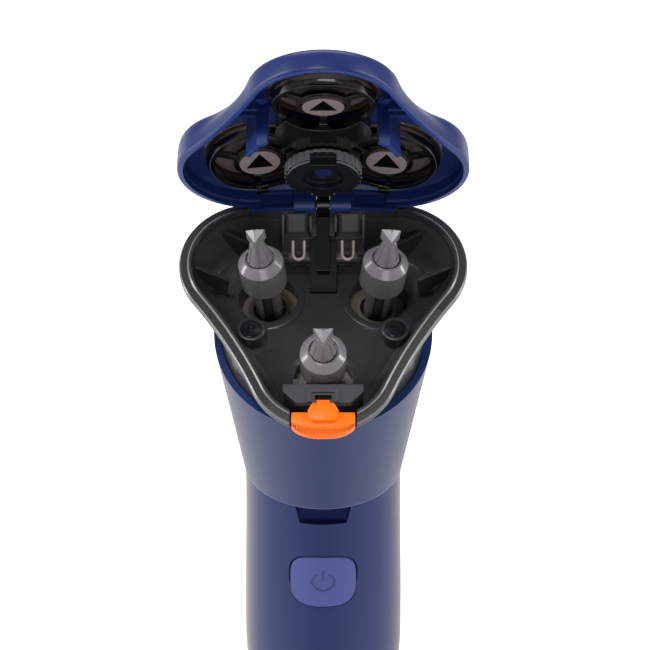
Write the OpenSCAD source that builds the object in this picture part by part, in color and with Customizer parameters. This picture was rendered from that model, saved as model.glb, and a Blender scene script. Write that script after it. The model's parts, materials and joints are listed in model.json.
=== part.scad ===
// Three-head rotary shaver with a flip-open head.
// Origin: centre of the handle's base. +Z is up, the front is -Y and X is to the right.
// The head has a frame of its own: its origin is the middle of the rim plane, tilted forwards.
// Lid parts are drawn closed, in the head's frame, and then swung open about the hinge pin.

/* [Head] */
// Width over the two rear lobes of the head
head_w = 60; // [58:0.5:62]
// Distance from the head's centre to the centre of each lobe
lobe_circle = 16.7; // [16.3:0.1:17.1]
// Radius of the shallow waists between the lobes
waist_r = 110; // [90:5:150]
// Tilt of the head towards the front
head_tilt = 20; // [18:0.5:22]
// Height of the middle of the rim plane above the base
head_z = 132; // [131:0.5:134]
// Set-back of the middle of the rim plane from the handle's axis
head_back = -2.3; // [-2.8:0.1:-1.8]
// Depth from the rim to the floor of the hair chamber
chamber_depth = 10.6; // [10.2:0.1:11]
// Thickness of moulded walls in the head
wall = 1.6; // [1.4:0.1:1.8]

/* [Lid] */
// Angle that the lid opens through
lid_open = 82.7; // [75:0.5:84]
// Height of the lid's skirt above the rim
lid_h = 5.2; // [5:0.1:5.6]
// Thickness of the lid's skirt
lid_wall = 1.2; // [1:0.1:1.4]
// Gap between the closed lid and the rim
lid_gap = 0.3; // [0.3:0.05:0.5]
// Set-in of the hinge pin from the rear edge of the rim
hinge_in = 0.05; // [0:0.05:0.3]
// Height of the hinge pin above the rim plane
hinge_up = 1; // [1:0.1:1.4]
// Radius of the hinge pin
pin_r = 0.9; // [0.7:0.05:1]

/* [Shaving heads] */
// Outward lean of each drive spindle and shaving head
fan = 7.3; // [6:0.1:8]
// Distance from the head's centre to each spindle at its seal
seat_r = 12.8; // [12.6:0.1:13.1]
// Depth of the seal below the chamber's floor
seal_drop = 4.6; // [4.4:0.1:5]
// Distance from the edge of a lobe to the rim of its guard
guard_in = 4.34; // [4.2:0.02:5]
// Slots in each guard
guard_slots = 44; // [30:2:50]
// Blades on each cutter
blades = 15; // [9:1:16]
// Travel of a shaving head into the lid
float_travel = 1; // [0.6:0.1:1]

/* [Drive] */
// Radius of a spindle cap
cap_r = 4.75; // [4.4:0.05:4.8]
// Radius of a drive shaft
shaft_r = 1.8; // [1.6:0.05:1.9]
// Running clearance between a cap and its shaft
shaft_clear = 0.08; // [0.05:0.01:0.1]
// Travel of a spindle cap down its shaft as the lid shuts
plunge = 6.45; // [6.2:0.05:6.6]
// Module of the gear train
gear_module = 0.5; // [0.5:0.01:0.51]
// Teeth on the motor's pinion
pinion_teeth = 17; // [16:1:18]
// Teeth on each driven gear
gear_teeth = 30; // [28:1:31]
// Length of the motor's can
motor_len = 12; // [10:0.5:12.5]

/* [Handle] */
// Width of the handle at its widest
handle_w = 34.9; // [33.5:0.1:35.5]
// Width of the neck under the collar
neck_w = 33.5; // [32.6:0.1:34]
// Width of the base
base_w = 29; // [27:0.5:31]
// Depth from the handle's axis to its front face
handle_front = 15.8; // [15.4:0.1:16.4]
// Depth from the handle's axis to the back of the neck
neck_rear = 20; // [19.4:0.1:20.6]
// Height of the collar's lower edge above the base
collar_z = 86; // [85.6:0.1:86.6]
// Radius of the collar's opening
collar_r = 23.4; // [23.2:0.1:23.8]
// Thickness of the handle's shells
shell = 1.8; // [1.6:0.1:2]

/* [Buttons] */
// Width of the power button
power_w = 14.6; // [13:0.1:16]
// Height of the power button
power_h = 13.9; // [13:0.1:16]
// Height of the power button's middle above the base
power_z = 65.4; // [63:0.2:67]
// Travel of the power button
power_travel = 0.8; // [0.5:0.1:1]
// Width of the release button
release_w = 12.9; // [12:0.1:14]
// Travel of the release button
release_travel = 1.2; // [0.8:0.1:1.4]
// Gap between a button and the hole that it moves in
button_gap = 0.35; // [0.3:0.05:0.5]

/* [Power] */
// Diameter of the battery
cell_d = 14.2; // [13.8:0.1:14.5]
// Length of the battery
cell_len = 50; // [44:0.5:52]
// Width of the charging inlet
inlet_w = 8; // [7:0.1:9]
// Depth of the charging inlet from front to back
inlet_d = 5.6; // [5:0.1:6.4]

/* [Hidden] */

eps = 0.01;
big = 80;
FRONT = -90;
RIGHT = 30;
LEFT = 150;
SIDES = [FRONT, RIGHT, LEFT];
round_fn = 48;

navy = [0.17, 0.2, 0.42];
royal = [0.2, 0.25, 0.6];
graphite = [0.2, 0.2, 0.21];
black = [0.07, 0.07, 0.08];
steel = [0.75, 0.75, 0.77];
orange = [1, 0.5, 0.08];
translucent = [0.45, 0.45, 0.47];

// ---- Outline of the head: three lobes joined by shallow waists ----
lobe_r = head_w / 2 - lobe_circle * cos(30);
waist_sum = lobe_r + waist_r;
waist_m = (lobe_circle + sqrt(lobe_circle * lobe_circle
    - 4 * (lobe_circle * lobe_circle - waist_sum * waist_sum))) / 2;
front_y = lobe_circle + lobe_r;
rear_y = waist_m - waist_r;
hinge_back = rear_y - hinge_in;
guard_r = lobe_r - guard_in;
lobe_half = atan2(waist_m * sin(60), waist_m * cos(60) - lobe_circle);
waist_half = lobe_half - 60;
lobe_steps = 14;
waist_steps = 4;

function polar(r, a) = [r * cos(a), r * sin(a)];
function raise(points, z) = [for (p = points) [p[0], p[1], z]];

// The outline, moved inwards by inset
function trefoil(inset = 0) = [for (t = SIDES) each concat(
    [for (i = [0 : lobe_steps]) polar(lobe_circle, t)
        + polar(lobe_r - inset, t - lobe_half + 2 * lobe_half * i / lobe_steps)],
    [for (i = [1 : waist_steps - 1]) polar(waist_m, t + 60)
        + polar(waist_r + inset, t + 240 + waist_half - 2 * waist_half * i / waist_steps)])];

// A point on a rear lobe, and the half width of the outline at a waist
function on_lobe(s, r, a) = [s * (lobe_circle * cos(30) + r * cos(a)), lobe_circle / 2 + r * sin(a)];
function waist_x(y, inset) = waist_m * cos(30) - sqrt(pow(waist_r + inset, 2) - pow(y + waist_m / 2, 2));

// A closed solid lofted through rings with equal numbers of points, from the bottom ring up. Each end
// is a fan around the middle of its ring
function middle(ring) = [for (axis = [0 : 2]) [for (p = ring) p[axis]] * [for (p = ring) 1] / len(ring)];
module skin(rings) {
    n = len(rings[0]);
    top = len(rings) - 1;
    polyhedron(
        points = concat([for (r = rings) each r], [middle(rings[0]), middle(rings[top])]),
        faces = concat(
            [for (i = [0 : n - 1]) [i, (i + 1) % n, (top + 1) * n]],
            [for (i = [0 : n - 1]) [top * n + (i + 1) % n, top * n + i, (top + 1) * n + 1]],
            [for (j = [0 : top - 1], i = [0 : n - 1]) let (k = (i + 1) % n)
                [j * n + i, (j + 1) * n + i, (j + 1) * n + k]],
            [for (j = [0 : top - 1], i = [0 : n - 1]) let (k = (i + 1) % n)
                [j * n + i, (j + 1) * n + k, j * n + k]]),
        convexity = 6);
}

// Loft of the head's outline through [inset, z] pairs
module lobed(profile) {
    skin([for (p = profile) raise(trefoil(p[0]), p[1])]);
}

// ---- Frames ----
module in_head() {
    translate([0, head_back, head_z]) rotate([head_tilt, 0, 0]) children();
}

// Frames for what goes with the hinge, and with the front edge of the rim
module at_hinge() {
    in_head() translate([0, hinge_back, 0]) children();
}

module at_front() {
    in_head() translate([0, -front_y, 0]) children();
}

module in_lid() {
    in_head() translate([0, hinge_back, hinge_up]) rotate([-lid_open, 0, 0])
        translate([0, -hinge_back, -hinge_up]) children();
}

// Frame of one spindle: its origin is on the seal, and Z is the spindle's own axis
seal_z = -chamber_depth - seal_drop;
module unit(side) {
    rotate([0, 0, side]) translate([seat_r, 0, seal_z]) rotate([0, fan, 0]) children();
}

module tube(r_out, r_in, z0, z1) {
    translate([0, 0, z0]) difference() {
        cylinder(h = z1 - z0, r = r_out, $fn = round_fn);
        translate([0, 0, -1]) cylinder(h = z1 - z0 + 2, r = r_in, $fn = round_fn);
    }
}

module rod(r, z0, z1) {
    translate([0, 0, z0]) cylinder(h = z1 - z0, r = r, $fn = round_fn);
}

module block(lo, hi) {
    translate(lo) cube(hi - lo);
}

// ---- Handle: horizontal sections, with a round front and a deeper back ----
handle_steps = 40;
belly_z = 38;
belly_rear = 18.2;

function ease(t) = t <= 0 ? 0 : t >= 1 ? 1 : t * t * (3 - 2 * t);
function mix(a, b, t) = a + (b - a) * t;
function half_w(z) = z < belly_z ? mix(base_w, handle_w, ease(z / belly_z)) / 2
    : mix(handle_w, neck_w, ease((z - belly_z) / (collar_z - belly_z))) / 2;
function front_d(z) = half_w(z) * handle_front / (handle_w / 2);
function rear_d(z) = z < belly_z ? mix(base_w / 2, belly_rear, ease(z / belly_z))
    : mix(belly_rear, neck_rear, ease((z - belly_z) / (collar_z - belly_z)));

function oval(rx, front, back, yc, z) = [for (i = [0 : handle_steps - 1])
    let (a = 360 * i / handle_steps, s = sin(a)) [rx * cos(a), yc + (s < 0 ? front : back) * s, z]];

handle_stations = [1.2, 6, 14, 24, 38, 52, 66, 78];

module handle_solid(inset, z0, z1) {
    skin(concat(
        [oval(half_w(z0) - inset, front_d(z0) - inset, rear_d(z0) - inset, 0, z0)],
        [for (z = handle_stations) if (z > z0 + 1 && z < z1 - 1)
            oval(half_w(z) - inset, front_d(z) - inset, rear_d(z) - inset, 0, z)],
        [oval(half_w(z1) - inset, front_d(z1) - inset, rear_d(z1) - inset, 0, z1)]));
}

seam_y = 3;
base_h = 3.6;
shell_top = collar_z + 5;

// Shell from the base cap up to a spigot inside the collar
module handle_shell() {
    difference() {
        union() {
            handle_solid(0, base_h, collar_z);
            translate([0, 0, collar_z - eps]) linear_extrude(shell_top - collar_z)
                spigot_outline(0);
        }
        handle_solid(shell, base_h - 1, collar_z - 3);
        translate([0, 0, collar_z - 3 - eps]) linear_extrude(shell_top)
            spigot_outline(shell);
    }
}

spigot_in = 2.2;
neck_front = handle_front * neck_w / handle_w;
module spigot_outline(inset) {
    polygon([for (p = oval(neck_w / 2 - spigot_in - inset, neck_front - spigot_in - inset,
        neck_rear - spigot_in - inset, 0, 0)) [p[0], p[1]]]);
}

// Power button outline: flat top, rounder bottom
module power_outline(grow) {
    w = power_w / 2 + grow;
    h = power_h / 2 + grow;
    hull() for (s = [-1, 1]) {
        translate([s * (w - 3.6 - grow), h - 3.6 - grow]) circle(r = 3.6 + grow, $fn = 32);
        translate([s * (w - 6 - grow), -h + 6 + grow]) circle(r = 6 + grow, $fn = 32);
    }
}

module power_prism(grow, y0, y1) {
    translate([0, y1, power_z]) rotate([90, 0, 0]) linear_extrude(y1 - y0) power_outline(grow);
}

neck_pocket_h = 4.6;
neck_pocket_w = 12;
neck_pocket_d = 1.1;

module front_shell() {
    color(navy) difference() {
        handle_shell();
        block([-big, seam_y, -1], [big, big, collar_z + 20]);
        power_prism(button_gap, -big, 0);
        // Shallow pocket under the collar's overhang
        translate([0, -front_d(collar_z) + neck_pocket_d, collar_z - neck_pocket_h])
            rotate([90, 0, 0]) linear_extrude(5)
                polygon([[-neck_pocket_w / 2 + 1, 0], [neck_pocket_w / 2 - 1, 0],
                    [neck_pocket_w / 2, neck_pocket_h + 0.1], [-neck_pocket_w / 2, neck_pocket_h + 0.1]]);
    }
}

module rear_shell() {
    color(navy) difference() {
        handle_shell();
        block([-big, -big, -1], [big, seam_y + 0.05, collar_z + 20]);
    }
}

// ---- Base ----
inlet_y = 3;
inlet_depth = 9;
screw_x = 9;

module base_cap() {
    color(black) difference() {
        union() {
            skin([oval(half_w(0) - 1.6, front_d(0) - 1.6, rear_d(0) - 1.6, 0, 0),
                oval(half_w(0.6) - 0.5, front_d(0.6) - 0.5, rear_d(0.6) - 0.5, 0, 0.6),
                oval(half_w(1.8), front_d(1.8), rear_d(1.8), 0, 1.8),
                oval(half_w(base_h), front_d(base_h), rear_d(base_h), 0, base_h - 0.05)]);
            // Box around the inlet
            block([-inlet_w / 2 - 1.4, inlet_y - inlet_d / 2 - 1.4, base_h - 1],
                [inlet_w / 2 + 1.4, inlet_y + inlet_d / 2 + 1.4, inlet_depth + 1.4]);
        }
        block([-inlet_w / 2, inlet_y - inlet_d / 2, -1], [inlet_w / 2, inlet_y + inlet_d / 2, inlet_depth]);
        for (s = [-1, 1]) translate([s * screw_x, -4, 0]) {
            rod(1.3, -1, base_h + 2);
            rod(2.6, -1, 1.6);
        }
        for (s = [-1, 1]) translate([s * 2.1, inlet_y, 0]) rod(0.7, inlet_depth - 1, inlet_depth + 3);
    }
}

module base_screws() {
    color(steel) for (s = [-1, 1]) translate([s * screw_x, -4, 0]) {
        rod(1.2, 1.2, base_h + 6);
        difference() {
            rod(2.4, 0.4, 1.55);
            for (a = [0, 90]) rotate([0, 0, a]) block([-1.3, -0.3, 0], [1.3, 0.3, 1]);
        }
    }
}

module inlet_pins() {
    color(steel) for (s = [-1, 1]) translate([s * 2.1, inlet_y, 0]) {
        rod(0.65, 4.9, inlet_depth + 3.4);
        translate([0, 0, 4.9]) sphere(r = 0.65, $fn = 24);
    }
}

// ---- Inside the handle ----
cell_y = 7;
cell_z = 20;
board_y = -9.4;

module battery() {
    color([0.2, 0.5, 0.35]) translate([0, cell_y, cell_z]) {
        rod(cell_d / 2, 0, cell_len - 1.2);
        rod(cell_d * 0.2, cell_len - 1.2 - eps, cell_len);
    }
}

module battery_cradle() {
    color(graphite) difference() {
        union() {
            block([-cell_d / 2 - 1.2, board_y + 1.7, cell_z - 2.6],
                [cell_d / 2 + 1.2, cell_y, cell_z + cell_len + 2.6]);
        }
        translate([0, cell_y, 0]) rod(cell_d / 2 + 0.05, cell_z - 1.05, cell_z + cell_len + 1.05);
        block([-cell_d / 2 + 2, board_y + 3.2, cell_z + 3],
            [cell_d / 2 - 2, cell_y - cell_d / 2 + 4, cell_z + cell_len - 3]);
    }
}

module circuit_board() {
    color([0.1, 0.35, 0.2]) {
        block([-9, board_y, 20], [9, board_y + 1.6, 80]);
        block([-6, board_y - 1.4, 24], [-1, board_y, 30]);
        block([2, board_y - 1.8, 34], [7, board_y, 38]);
        block([-7, board_y - 1.2, 44], [-2, board_y, 52]);
    }
}

module tact_switch() {
    color(black) {
        block([-3, board_y - 2.4, power_z - 3], [3, board_y, power_z + 3]);
        translate([0, board_y - 2.4 + eps, power_z]) rotate([90, 0, 0]) rod(1.7, 0, 0.5);
    }
}

// ---- Power button: a cap on a stem that reaches the switch ----
module power_button() {
    face = -front_d(power_z);
    color([0.35, 0.39, 0.66]) {
        intersection() {
            power_prism(0, -big, -1);
            difference() {
                handle_solid(-0.25, base_h, collar_z - 1);
                handle_solid(1.5, base_h - 1, collar_z);
            }
        }
        translate([0, board_y - 2.4 - 0.5 - power_travel - 0.05, power_z])
            rotate([90, 0, 0]) rod(2.4, 0, -face - (-board_y + 2.95 + power_travel) - 1);
    }
}

// ---- Collar: a cup trimmed by a plane that is parallel to the rim ----
collar_drop = 8;
collar_yc = -4.9;
collar_top_z = head_z + 4;
collar_rear = 24.2;
collar_stations = 6;

function collar_t(z) = (z - collar_z) / (collar_top_z - collar_z);
function square_oval(rx, front, back, yc, z, n) = [for (i = [0 : handle_steps - 1])
    let (a = 360 * i / handle_steps, c = cos(a), s = sin(a), e = 2 / n)
    [s < 0 ? rx * c : rx * sign(c) * pow(abs(c), e),
        yc + (s < 0 ? front * s : back * pow(abs(s), e)), z]];

function collar_ring(inset, z) = let (t = collar_t(z), r = mix(neck_w / 2 + 0.15, collar_r + 1.3, t),
    yc = mix(0, collar_yc - 0.9, t))
    square_oval(r - inset, mix(neck_front + 0.4, collar_r + 1.1, t) - inset,
        mix(neck_rear + 0.4, collar_rear, t) - yc - inset, yc, z, mix(2, 4, ease(t * 1.7)));

module collar_solid(inset, z0, z1) {
    skin([for (i = [0 : collar_stations]) collar_ring(inset, mix(z0, z1, i / collar_stations))]);
}

// Space inside the collar
module collar_room(inset) {
    collar_solid(wall + inset, shell_top + 1.4, collar_top_z + 1);
}

module above_plane(z) {
    in_head() translate([-big, -big, z]) cube([2 * big, 2 * big, big]);
}

module collar() {
    color(navy) difference() {
        collar_solid(0, collar_z + 0.05, collar_top_z);
        collar_room(0);
        // The handle's spigot plugs into the bottom
        translate([0, 0, collar_z - 1]) linear_extrude(shell_top - collar_z + 3) spigot_outline(-0.05);
        above_plane(-collar_drop);
        in_head() translate([0, 0, -0.15]) chamber_outside(-0.15);
    }
}

// ---- Hair chamber: the bowl with the rim ----
rim_lip_in = 1.8;
rim_lip_w = 0.8;
rim_lip_h = 0.6;
floor_t = 1.5;
recess_r = 6.15;
floor_z = -chamber_depth;
hinge_gap_w = 8.9;
step_y = hinge_back - 2.8;
rear_edge_z = -1.3;
trench_y = hinge_back - 10;
trench_d = 0.8;
boss_x = head_w / 2 - 15;
boss_y = -3;
boss_h = 3.3;
boss_r = 2.9;

module chamber_outside(inset) {
    lobed([for (p = [[6.4, floor_z - floor_t], [5.2, floor_z + 1], [3.4, -6], [2.2, -2.4], [0.5, -1.9],
        [0, -1.5], [0, -0.3], [0.3, 0]]) [p[0] + inset, p[1]]]);
}

module screw_places() {
    for (s = [-1, 1]) translate([s * boss_x, boss_y, 0]) children();
}

module hair_chamber() {
    color(graphite) in_head() {
        difference() {
            union() {
                difference() {
                    chamber_outside(0);
                    lobed([[7.6, floor_z], [6.6, floor_z + 0.5], [5.5, floor_z + 2], [3.7, -4.4], [3, -1.4],
                        [2.6, 1]]);
                }
                // Raised lip that the lid drops over
                intersection() {
                    difference() {
                        lobed([[rim_lip_in, -0.5], [rim_lip_in, rim_lip_h]]);
                        lobed([[rim_lip_in + rim_lip_w, -1], [rim_lip_in + rim_lip_w, rim_lip_h + 1]]);
                    }
                    block([-big, -big, -1], [big, step_y, 2]);
                }
                // Cups around the seals
                for (s = SIDES) unit(s) rod(recess_r + wall, -1.4, seal_drop - 0.4);
                screw_places() rod(boss_r, floor_z - eps, floor_z + boss_h);
                intersection() {
                    wedge_ribs();
                    chamber_outside(0.3);
                }
            }
            for (s = SIDES) unit(s) {
                rod(recess_r, 0, seal_drop + 3);
                rod(seal_hole_r + 0.6, -3, 1);
            }
            screw_places() {
                rod(1.3, floor_z - 3, floor_z + boss_h + 1);
                rod(2.2, floor_z + boss_h - 1.2, floor_z + boss_h + 1);
            }
            // Lowered rear edge, where the lid swings past
            block([-big, step_y, rear_edge_z], [big, big, 3]);
            // Room for the hinge, and for the release button
            block([-hinge_gap_w, hinge_back - 7.7, floor_z + 2.2], [hinge_gap_w, big, 3]);
            block([-9.6, trench_y, floor_z - trench_d], [9.6, hinge_back - 7, floor_z + 2.5]);
            block([-release_w / 2 - button_gap, -big, -6.3],
                [release_w / 2 + button_gap, 8.24 - front_y, 3]);
        }
    }
}

// Pairs of thin wedge ribs on the walls of the two rear lobes
module wedge_ribs() {
    for (s = [-1, 1]) {
        wedge_rib(on_lobe(s, lobe_r - 3.36, 4.5), on_lobe(s, lobe_r - 10.3, -10.5));
        wedge_rib(on_lobe(s, lobe_r - 3.27, 56.7), on_lobe(s, lobe_r - 7.45, 84.7));
    }
}

module wedge_rib(outer, inner) {
    run = norm(inner - outer);
    translate([outer[0], outer[1], 0]) rotate([0, 0, atan2(inner[1] - outer[1], inner[0] - outer[0])])
        rotate([90, 0, 0]) translate([0, 0, -0.4]) linear_extrude(0.8)
            polygon([[0, -2.4], [run, -4.4], [run - 0.6, floor_z + 0.3], [run - 1.5, floor_z - 0.3],
                [0.5, -5.2]]);
}

module chamber_screws() {
    color(black) in_head() screw_places() {
        rod(1.2, floor_z - 4, floor_z + boss_h - 1.2);
        difference() {
            rod(2.1, floor_z + boss_h - 1.2, floor_z + boss_h + 0.2);
            translate([0, 0, floor_z + boss_h - 0.5]) cylinder(h = 2, r = 1.1, $fn = 6);
        }
    }
}

seal_hole_r = 3.5;
module shaft_seals() {
    color([0.42, 0.38, 0.36]) in_head() for (s = SIDES) unit(s) {
        tube(recess_r - 0.05, seal_hole_r, 0, 0.8);
        tube(seal_hole_r + 0.9, seal_hole_r, 0.8 - eps, 1.3);
    }
}

// ---- Gear train ----
gear_r = gear_module * gear_teeth / 2;
pinion_r = gear_module * pinion_teeth / 2;
gear_circle = gear_r + pinion_r + 0.05;
gear_top = floor_z - seal_drop - 2.8;
gear_t = 2.4;
hub_r = 5.3;
hub_bore = 3.9;
hub_bottom = gear_top - 7.5;
plate_t = 1.6;
plate_top = hub_bottom - 0.5;
post_r = 1.5;

// A spur gear drawn as straight-sided teeth on a root circle
function gear_points(m, teeth) = let (p = 360 / teeth, rp = m * teeth / 2)
    [for (i = [0 : teeth - 1]) each [polar(rp - 1.15 * m, (i - 0.36) * p),
        polar(rp - 1.15 * m, (i - 0.3) * p),
        polar(rp + 0.9 * m, (i - 0.11) * p), polar(rp + 0.9 * m, (i + 0.11) * p),
        polar(rp - 1.15 * m, (i + 0.3) * p), polar(rp - 1.15 * m, (i + 0.36) * p)]];

module gear_housing() {
    bowl = gear_r + gear_module + 0.35;
    bowl_z = gear_top - gear_t - 0.6;
    color(graphite) intersection() {
        in_head() difference() {
            union() {
                translate([0, 0, bowl_z]) linear_extrude(floor_z - floor_t - 0.1 - bowl_z)
                    three_lobes(bowl + 0.8);
                translate([0, 0, plate_top - plate_t]) linear_extrude(gear_top - plate_top)
                    three_lobes(hub_r + 1.8);
            }
            translate([0, 0, bowl_z + 0.1]) linear_extrude(20) three_lobes(bowl);
            translate([0, 0, plate_top]) linear_extrude(20) three_lobes(hub_r + 0.6);
            // Shaft hole, motor screws and the two screws from the chamber
            rod(3, plate_top - 5, plate_top + 1);
            for (s = [-1, 1]) translate([s * motor_screw_x, 0, 0]) rod(0.85, plate_top - 5, plate_top + 1);
            screw_places() rod(1.3, floor_z - 12, floor_z + 1);
            // The cups of the chamber reach down into the open top
            for (s = SIDES) unit(s) rod(recess_r + wall + 0.1, -1.5, seal_drop);
        }
        collar_room(0.1);
    }
    color(steel) in_head() for (s = SIDES) rotate([0, 0, s]) translate([gear_circle, 0, 0])
        rod(post_r, plate_top - eps, hub_bottom + 1.4);
}

module three_lobes(r) {
    hull() for (s = SIDES) rotate([0, 0, s]) translate([gear_circle, 0]) circle(r = r, $fn = 32);
}

module pinion() {
    color(steel) in_head() {
        translate([0, 0, gear_top - gear_t]) linear_extrude(gear_t + 0.4)
            polygon(gear_points(gear_module, pinion_teeth));
        rod(1, motor_top - 3, gear_top - gear_t + eps);
        rod(1, gear_top + 0.4 - eps, gear_top + 1.2);
    }
}

// The gear is turned so that one of its gaps faces a tooth of the pinion
module drive_gear(side) {
    mesh = side + 180 + (180 + side * pinion_teeth) / gear_teeth;
    color([0.9, 0.89, 0.84]) in_head() rotate([0, 0, side]) translate([gear_circle, 0, 0]) {
        difference() {
            union() {
                translate([0, 0, gear_top - gear_t]) rotate([0, 0, mesh - side])
                    linear_extrude(gear_t) polygon(gear_points(gear_module, gear_teeth));
                rod(hub_r, hub_bottom, gear_top);
            }
            rod(hub_bore, hub_bottom + 1.7, gear_top + 1);
            rod(post_r + 0.06, hub_bottom - 1, hub_bottom + 2);
            // Slots that carry the shaft's dogs
            for (a = [0, 120, 240]) rotate([0, 0, a])
                block([0, -0.8, hub_bottom + 1.7], [hub_bore + 0.7, 0.8, gear_top + 1]);
        }
    }
}

module gear_front() drive_gear(FRONT);
module gear_right() drive_gear(RIGHT);
module gear_left() drive_gear(LEFT);

motor_w = 20;
motor_d = 13;
motor_screw_x = 6.3;
motor_top = plate_top - plate_t;

module motor() {
    color(steel) in_head() difference() {
        union() {
            intersection() {
                rod(motor_w / 2, motor_top - motor_len, motor_top);
                block([-big, -motor_d / 2, -big], [big, motor_d / 2, 0]);
            }
            rod(3, motor_top - motor_len - 1.2, motor_top - motor_len + eps);
        }
        rod(1.06, motor_top - 3.3, motor_top + 1);
        rod(3.2, motor_top - 0.6, motor_top + 1);
        for (s = [-1, 1]) translate([s * motor_screw_x, 0, 0])
            rod(0.85, motor_top - 3, motor_top + 1);
    }
}

module motor_screws() {
    color(steel) in_head() for (s = [-1, 1]) translate([s * motor_screw_x, 0, 0]) {
        rod(0.8, motor_top - 2.6, plate_top + eps);
        rod(1.4, plate_top, plate_top + 0.7);
    }
}

// ---- Spindles ----
tip_len = 27.6;
leg_r = 2.9;
leg_foot = 0;
cap_bottom = 10.7;
shaft_top = cap_bottom - 0.2;
cap_edge = 16.9;
cap_top = 18.6;
neck_top = 24.2;
tip_r = 2.3;
prism_top = 26.3;

module drive_shaft(side) {
    foot = -plunge - 0.5;
    color([0.22, 0.22, 0.24]) in_head() unit(side) {
        rod(shaft_r, foot - eps, shaft_top);
        rod(2.5, foot - 0.9, foot);
        for (a = [0, 120, 240]) rotate([0, 0, a])
            block([1, -0.45, foot - 0.8], [3.9, 0.45, foot - 0.1]);
    }
}

module shaft_front() drive_shaft(FRONT);
module shaft_right() drive_shaft(RIGHT);
module shaft_left() drive_shaft(LEFT);

// The cap slides on the shaft; three legs reach down through the seal
module drive_cap(side) {
    color(translucent) in_head() unit(side) difference() {
        union() {
            rod(cap_r, cap_bottom, cap_edge);
            translate([0, 0, cap_edge - eps])
                cylinder(h = cap_top - cap_edge, r1 = cap_r, r2 = cap_r - 1.3, $fn = round_fn);
            translate([0, 0, cap_edge + 0.6])
                cylinder(h = neck_top - cap_edge - 0.6, r1 = 2.8, r2 = 1.25, $fn = round_fn);
            for (a = [0 : 60 : 300]) rotate([0, 0, a]) rotate([90, 0, 0]) translate([0, 0, -0.2])
                linear_extrude(0.4) polygon([[0, cap_edge + 0.5], [3, cap_edge + 0.5], [1.35, neck_top],
                    [0, neck_top]]);
            spindle_tip();
            for (a = [60, 180, 300]) rotate([0, 0, a]) intersection() {
                tube(leg_r, shaft_r + shaft_clear + 0.1, leg_foot, cap_bottom + eps);
                block([0, -0.95, leg_foot - 1], [leg_r + 1, 0.95, cap_bottom + 1]);
            }
        }
        // Bore for the shaft, and the dished ring around the neck
        rod(shaft_r + shaft_clear, cap_bottom - 1, shaft_top + plunge + 0.3);
        tube(cap_r - 1.75, 2.6, cap_edge + 0.7, cap_top + 1);
    }
}

module spindle_tip() {
    translate([0, 0, neck_top - 0.5]) linear_extrude(prism_top - neck_top + 0.5)
        circle(r = tip_r, $fn = 3);
    hull() {
        translate([0, 0, prism_top - eps]) linear_extrude(eps) circle(r = tip_r, $fn = 3);
        translate([0, 0, tip_len - eps]) linear_extrude(eps) circle(r = 0.5, $fn = 3);
    }
}

module cap_front() drive_cap(FRONT);
module cap_right() drive_cap(RIGHT);
module cap_left() drive_cap(LEFT);

// ---- Hinge hardware on the chamber ----
lug_in = 1.75;
lug_out = 6.2;
tongue_w = 2.7;

function mirrored(s, lo, hi) = s > 0 ? [lo, hi] : [-hi, -lo];

module tongue_side(grow) {
    polygon([[-12.1 - grow, floor_z + 3], [-11.7, floor_z + 3.8 + grow], [-5.6, -3 + grow], [-2.1, -1.2],
        [-1.7, 0.4], [-0.1, 0.4], [-0.1, -1.6], [-4.5 + grow, -4.35 - grow], [-6.4 + grow, -4.85 - grow]]);
}

// Catch block with bevelled sides and a sloping face
module catch_block(s) {
    x0 = mirrored(s, 3.3, 7.9)[0];
    difference() {
        translate([x0, 0, 0]) rotate([90, 0, 90]) linear_extrude(4.6)
            polygon([[-4.9, -2.4], [-2.9, 1.1], [-2.35, 1.1], [-2.2, -0.3], [-2.2, -7], [-4.4, -7],
                [-4.4, -2.8]]);
        for (x = [x0, x0 + 4.6]) translate([x, -4.9, -2.4]) rotate([-29.7, 0, 0]) rotate([0, 0, 45])
            cube([0.9, 0.9, 12], center = true);
    }
}

module hinge_bracket() {
    color(graphite) at_hinge() difference() {
        union() {
            for (s = [-1, 1]) {
                // Catch block, and the housing below it
                catch_block(s);
                translate([mirrored(s, 2.9, 8.7)[0], -7.4, floor_z + 2.3]) cube([5.8, 5.2, 1.4]);
                // Curved outer wing, and the thin guide beside the tongue
                translate([mirrored(s, 8.2, 8.7)[0], 0, 0]) rotate([90, 0, 90]) linear_extrude(0.5)
                    polygon([[-2.2, 0.6], [-2.7, 0.6], [-5.4, -3.4], [-6.3, -5.2], [-6.5, -6.6],
                        [-6.1, -7.4], [-2.2, -7.4]]);
                translate([mirrored(s, 2.45, 2.85)[0], 0, 0]) rotate([90, 0, 90]) linear_extrude(0.4)
                    polygon([[-2.2, 0.4], [-2.8, 0.4], [-4.8, -2.6], [-4.8, -5], [-2.2, -5]]);
            }
            block([-8.7, -5, floor_z + 2.3], [8.7, -2.2, -4.4]);
            block([-8.7, -2.3, -6.3], [8.7, 0.4, hinge_up - pin_r - 1.5]);
            // Ramp that carries the tongue
            translate([-2.8, 0, 0]) rotate([90, 0, 90]) linear_extrude(5.6)
                polygon([[-15, floor_z + 0.05], [-15, floor_z + 0.9], [-13.8, floor_z + 1.7], [-6.4, -4.9],
                    [-4.6, -4.4], [-2.2, -3.2], [-2.2, floor_z + 2.3], [-8.6, floor_z + 2.3],
                    [-8.6, floor_z + 0.05]]);
        }
        translate([-tongue_w / 2 - 0.05, 0, 0]) rotate([90, 0, 90]) linear_extrude(tongue_w + 0.1)
            tongue_side(0.05);
        // Windows for the wire springs
        for (s = [-1, 1]) {
            translate([s * spring_x, 0, 0]) block([-2.1, -9, floor_z + 1.6], [2.1, -5.6, -5]);
            spring_wire(s, 0.05);
        }
    }
}

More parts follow.
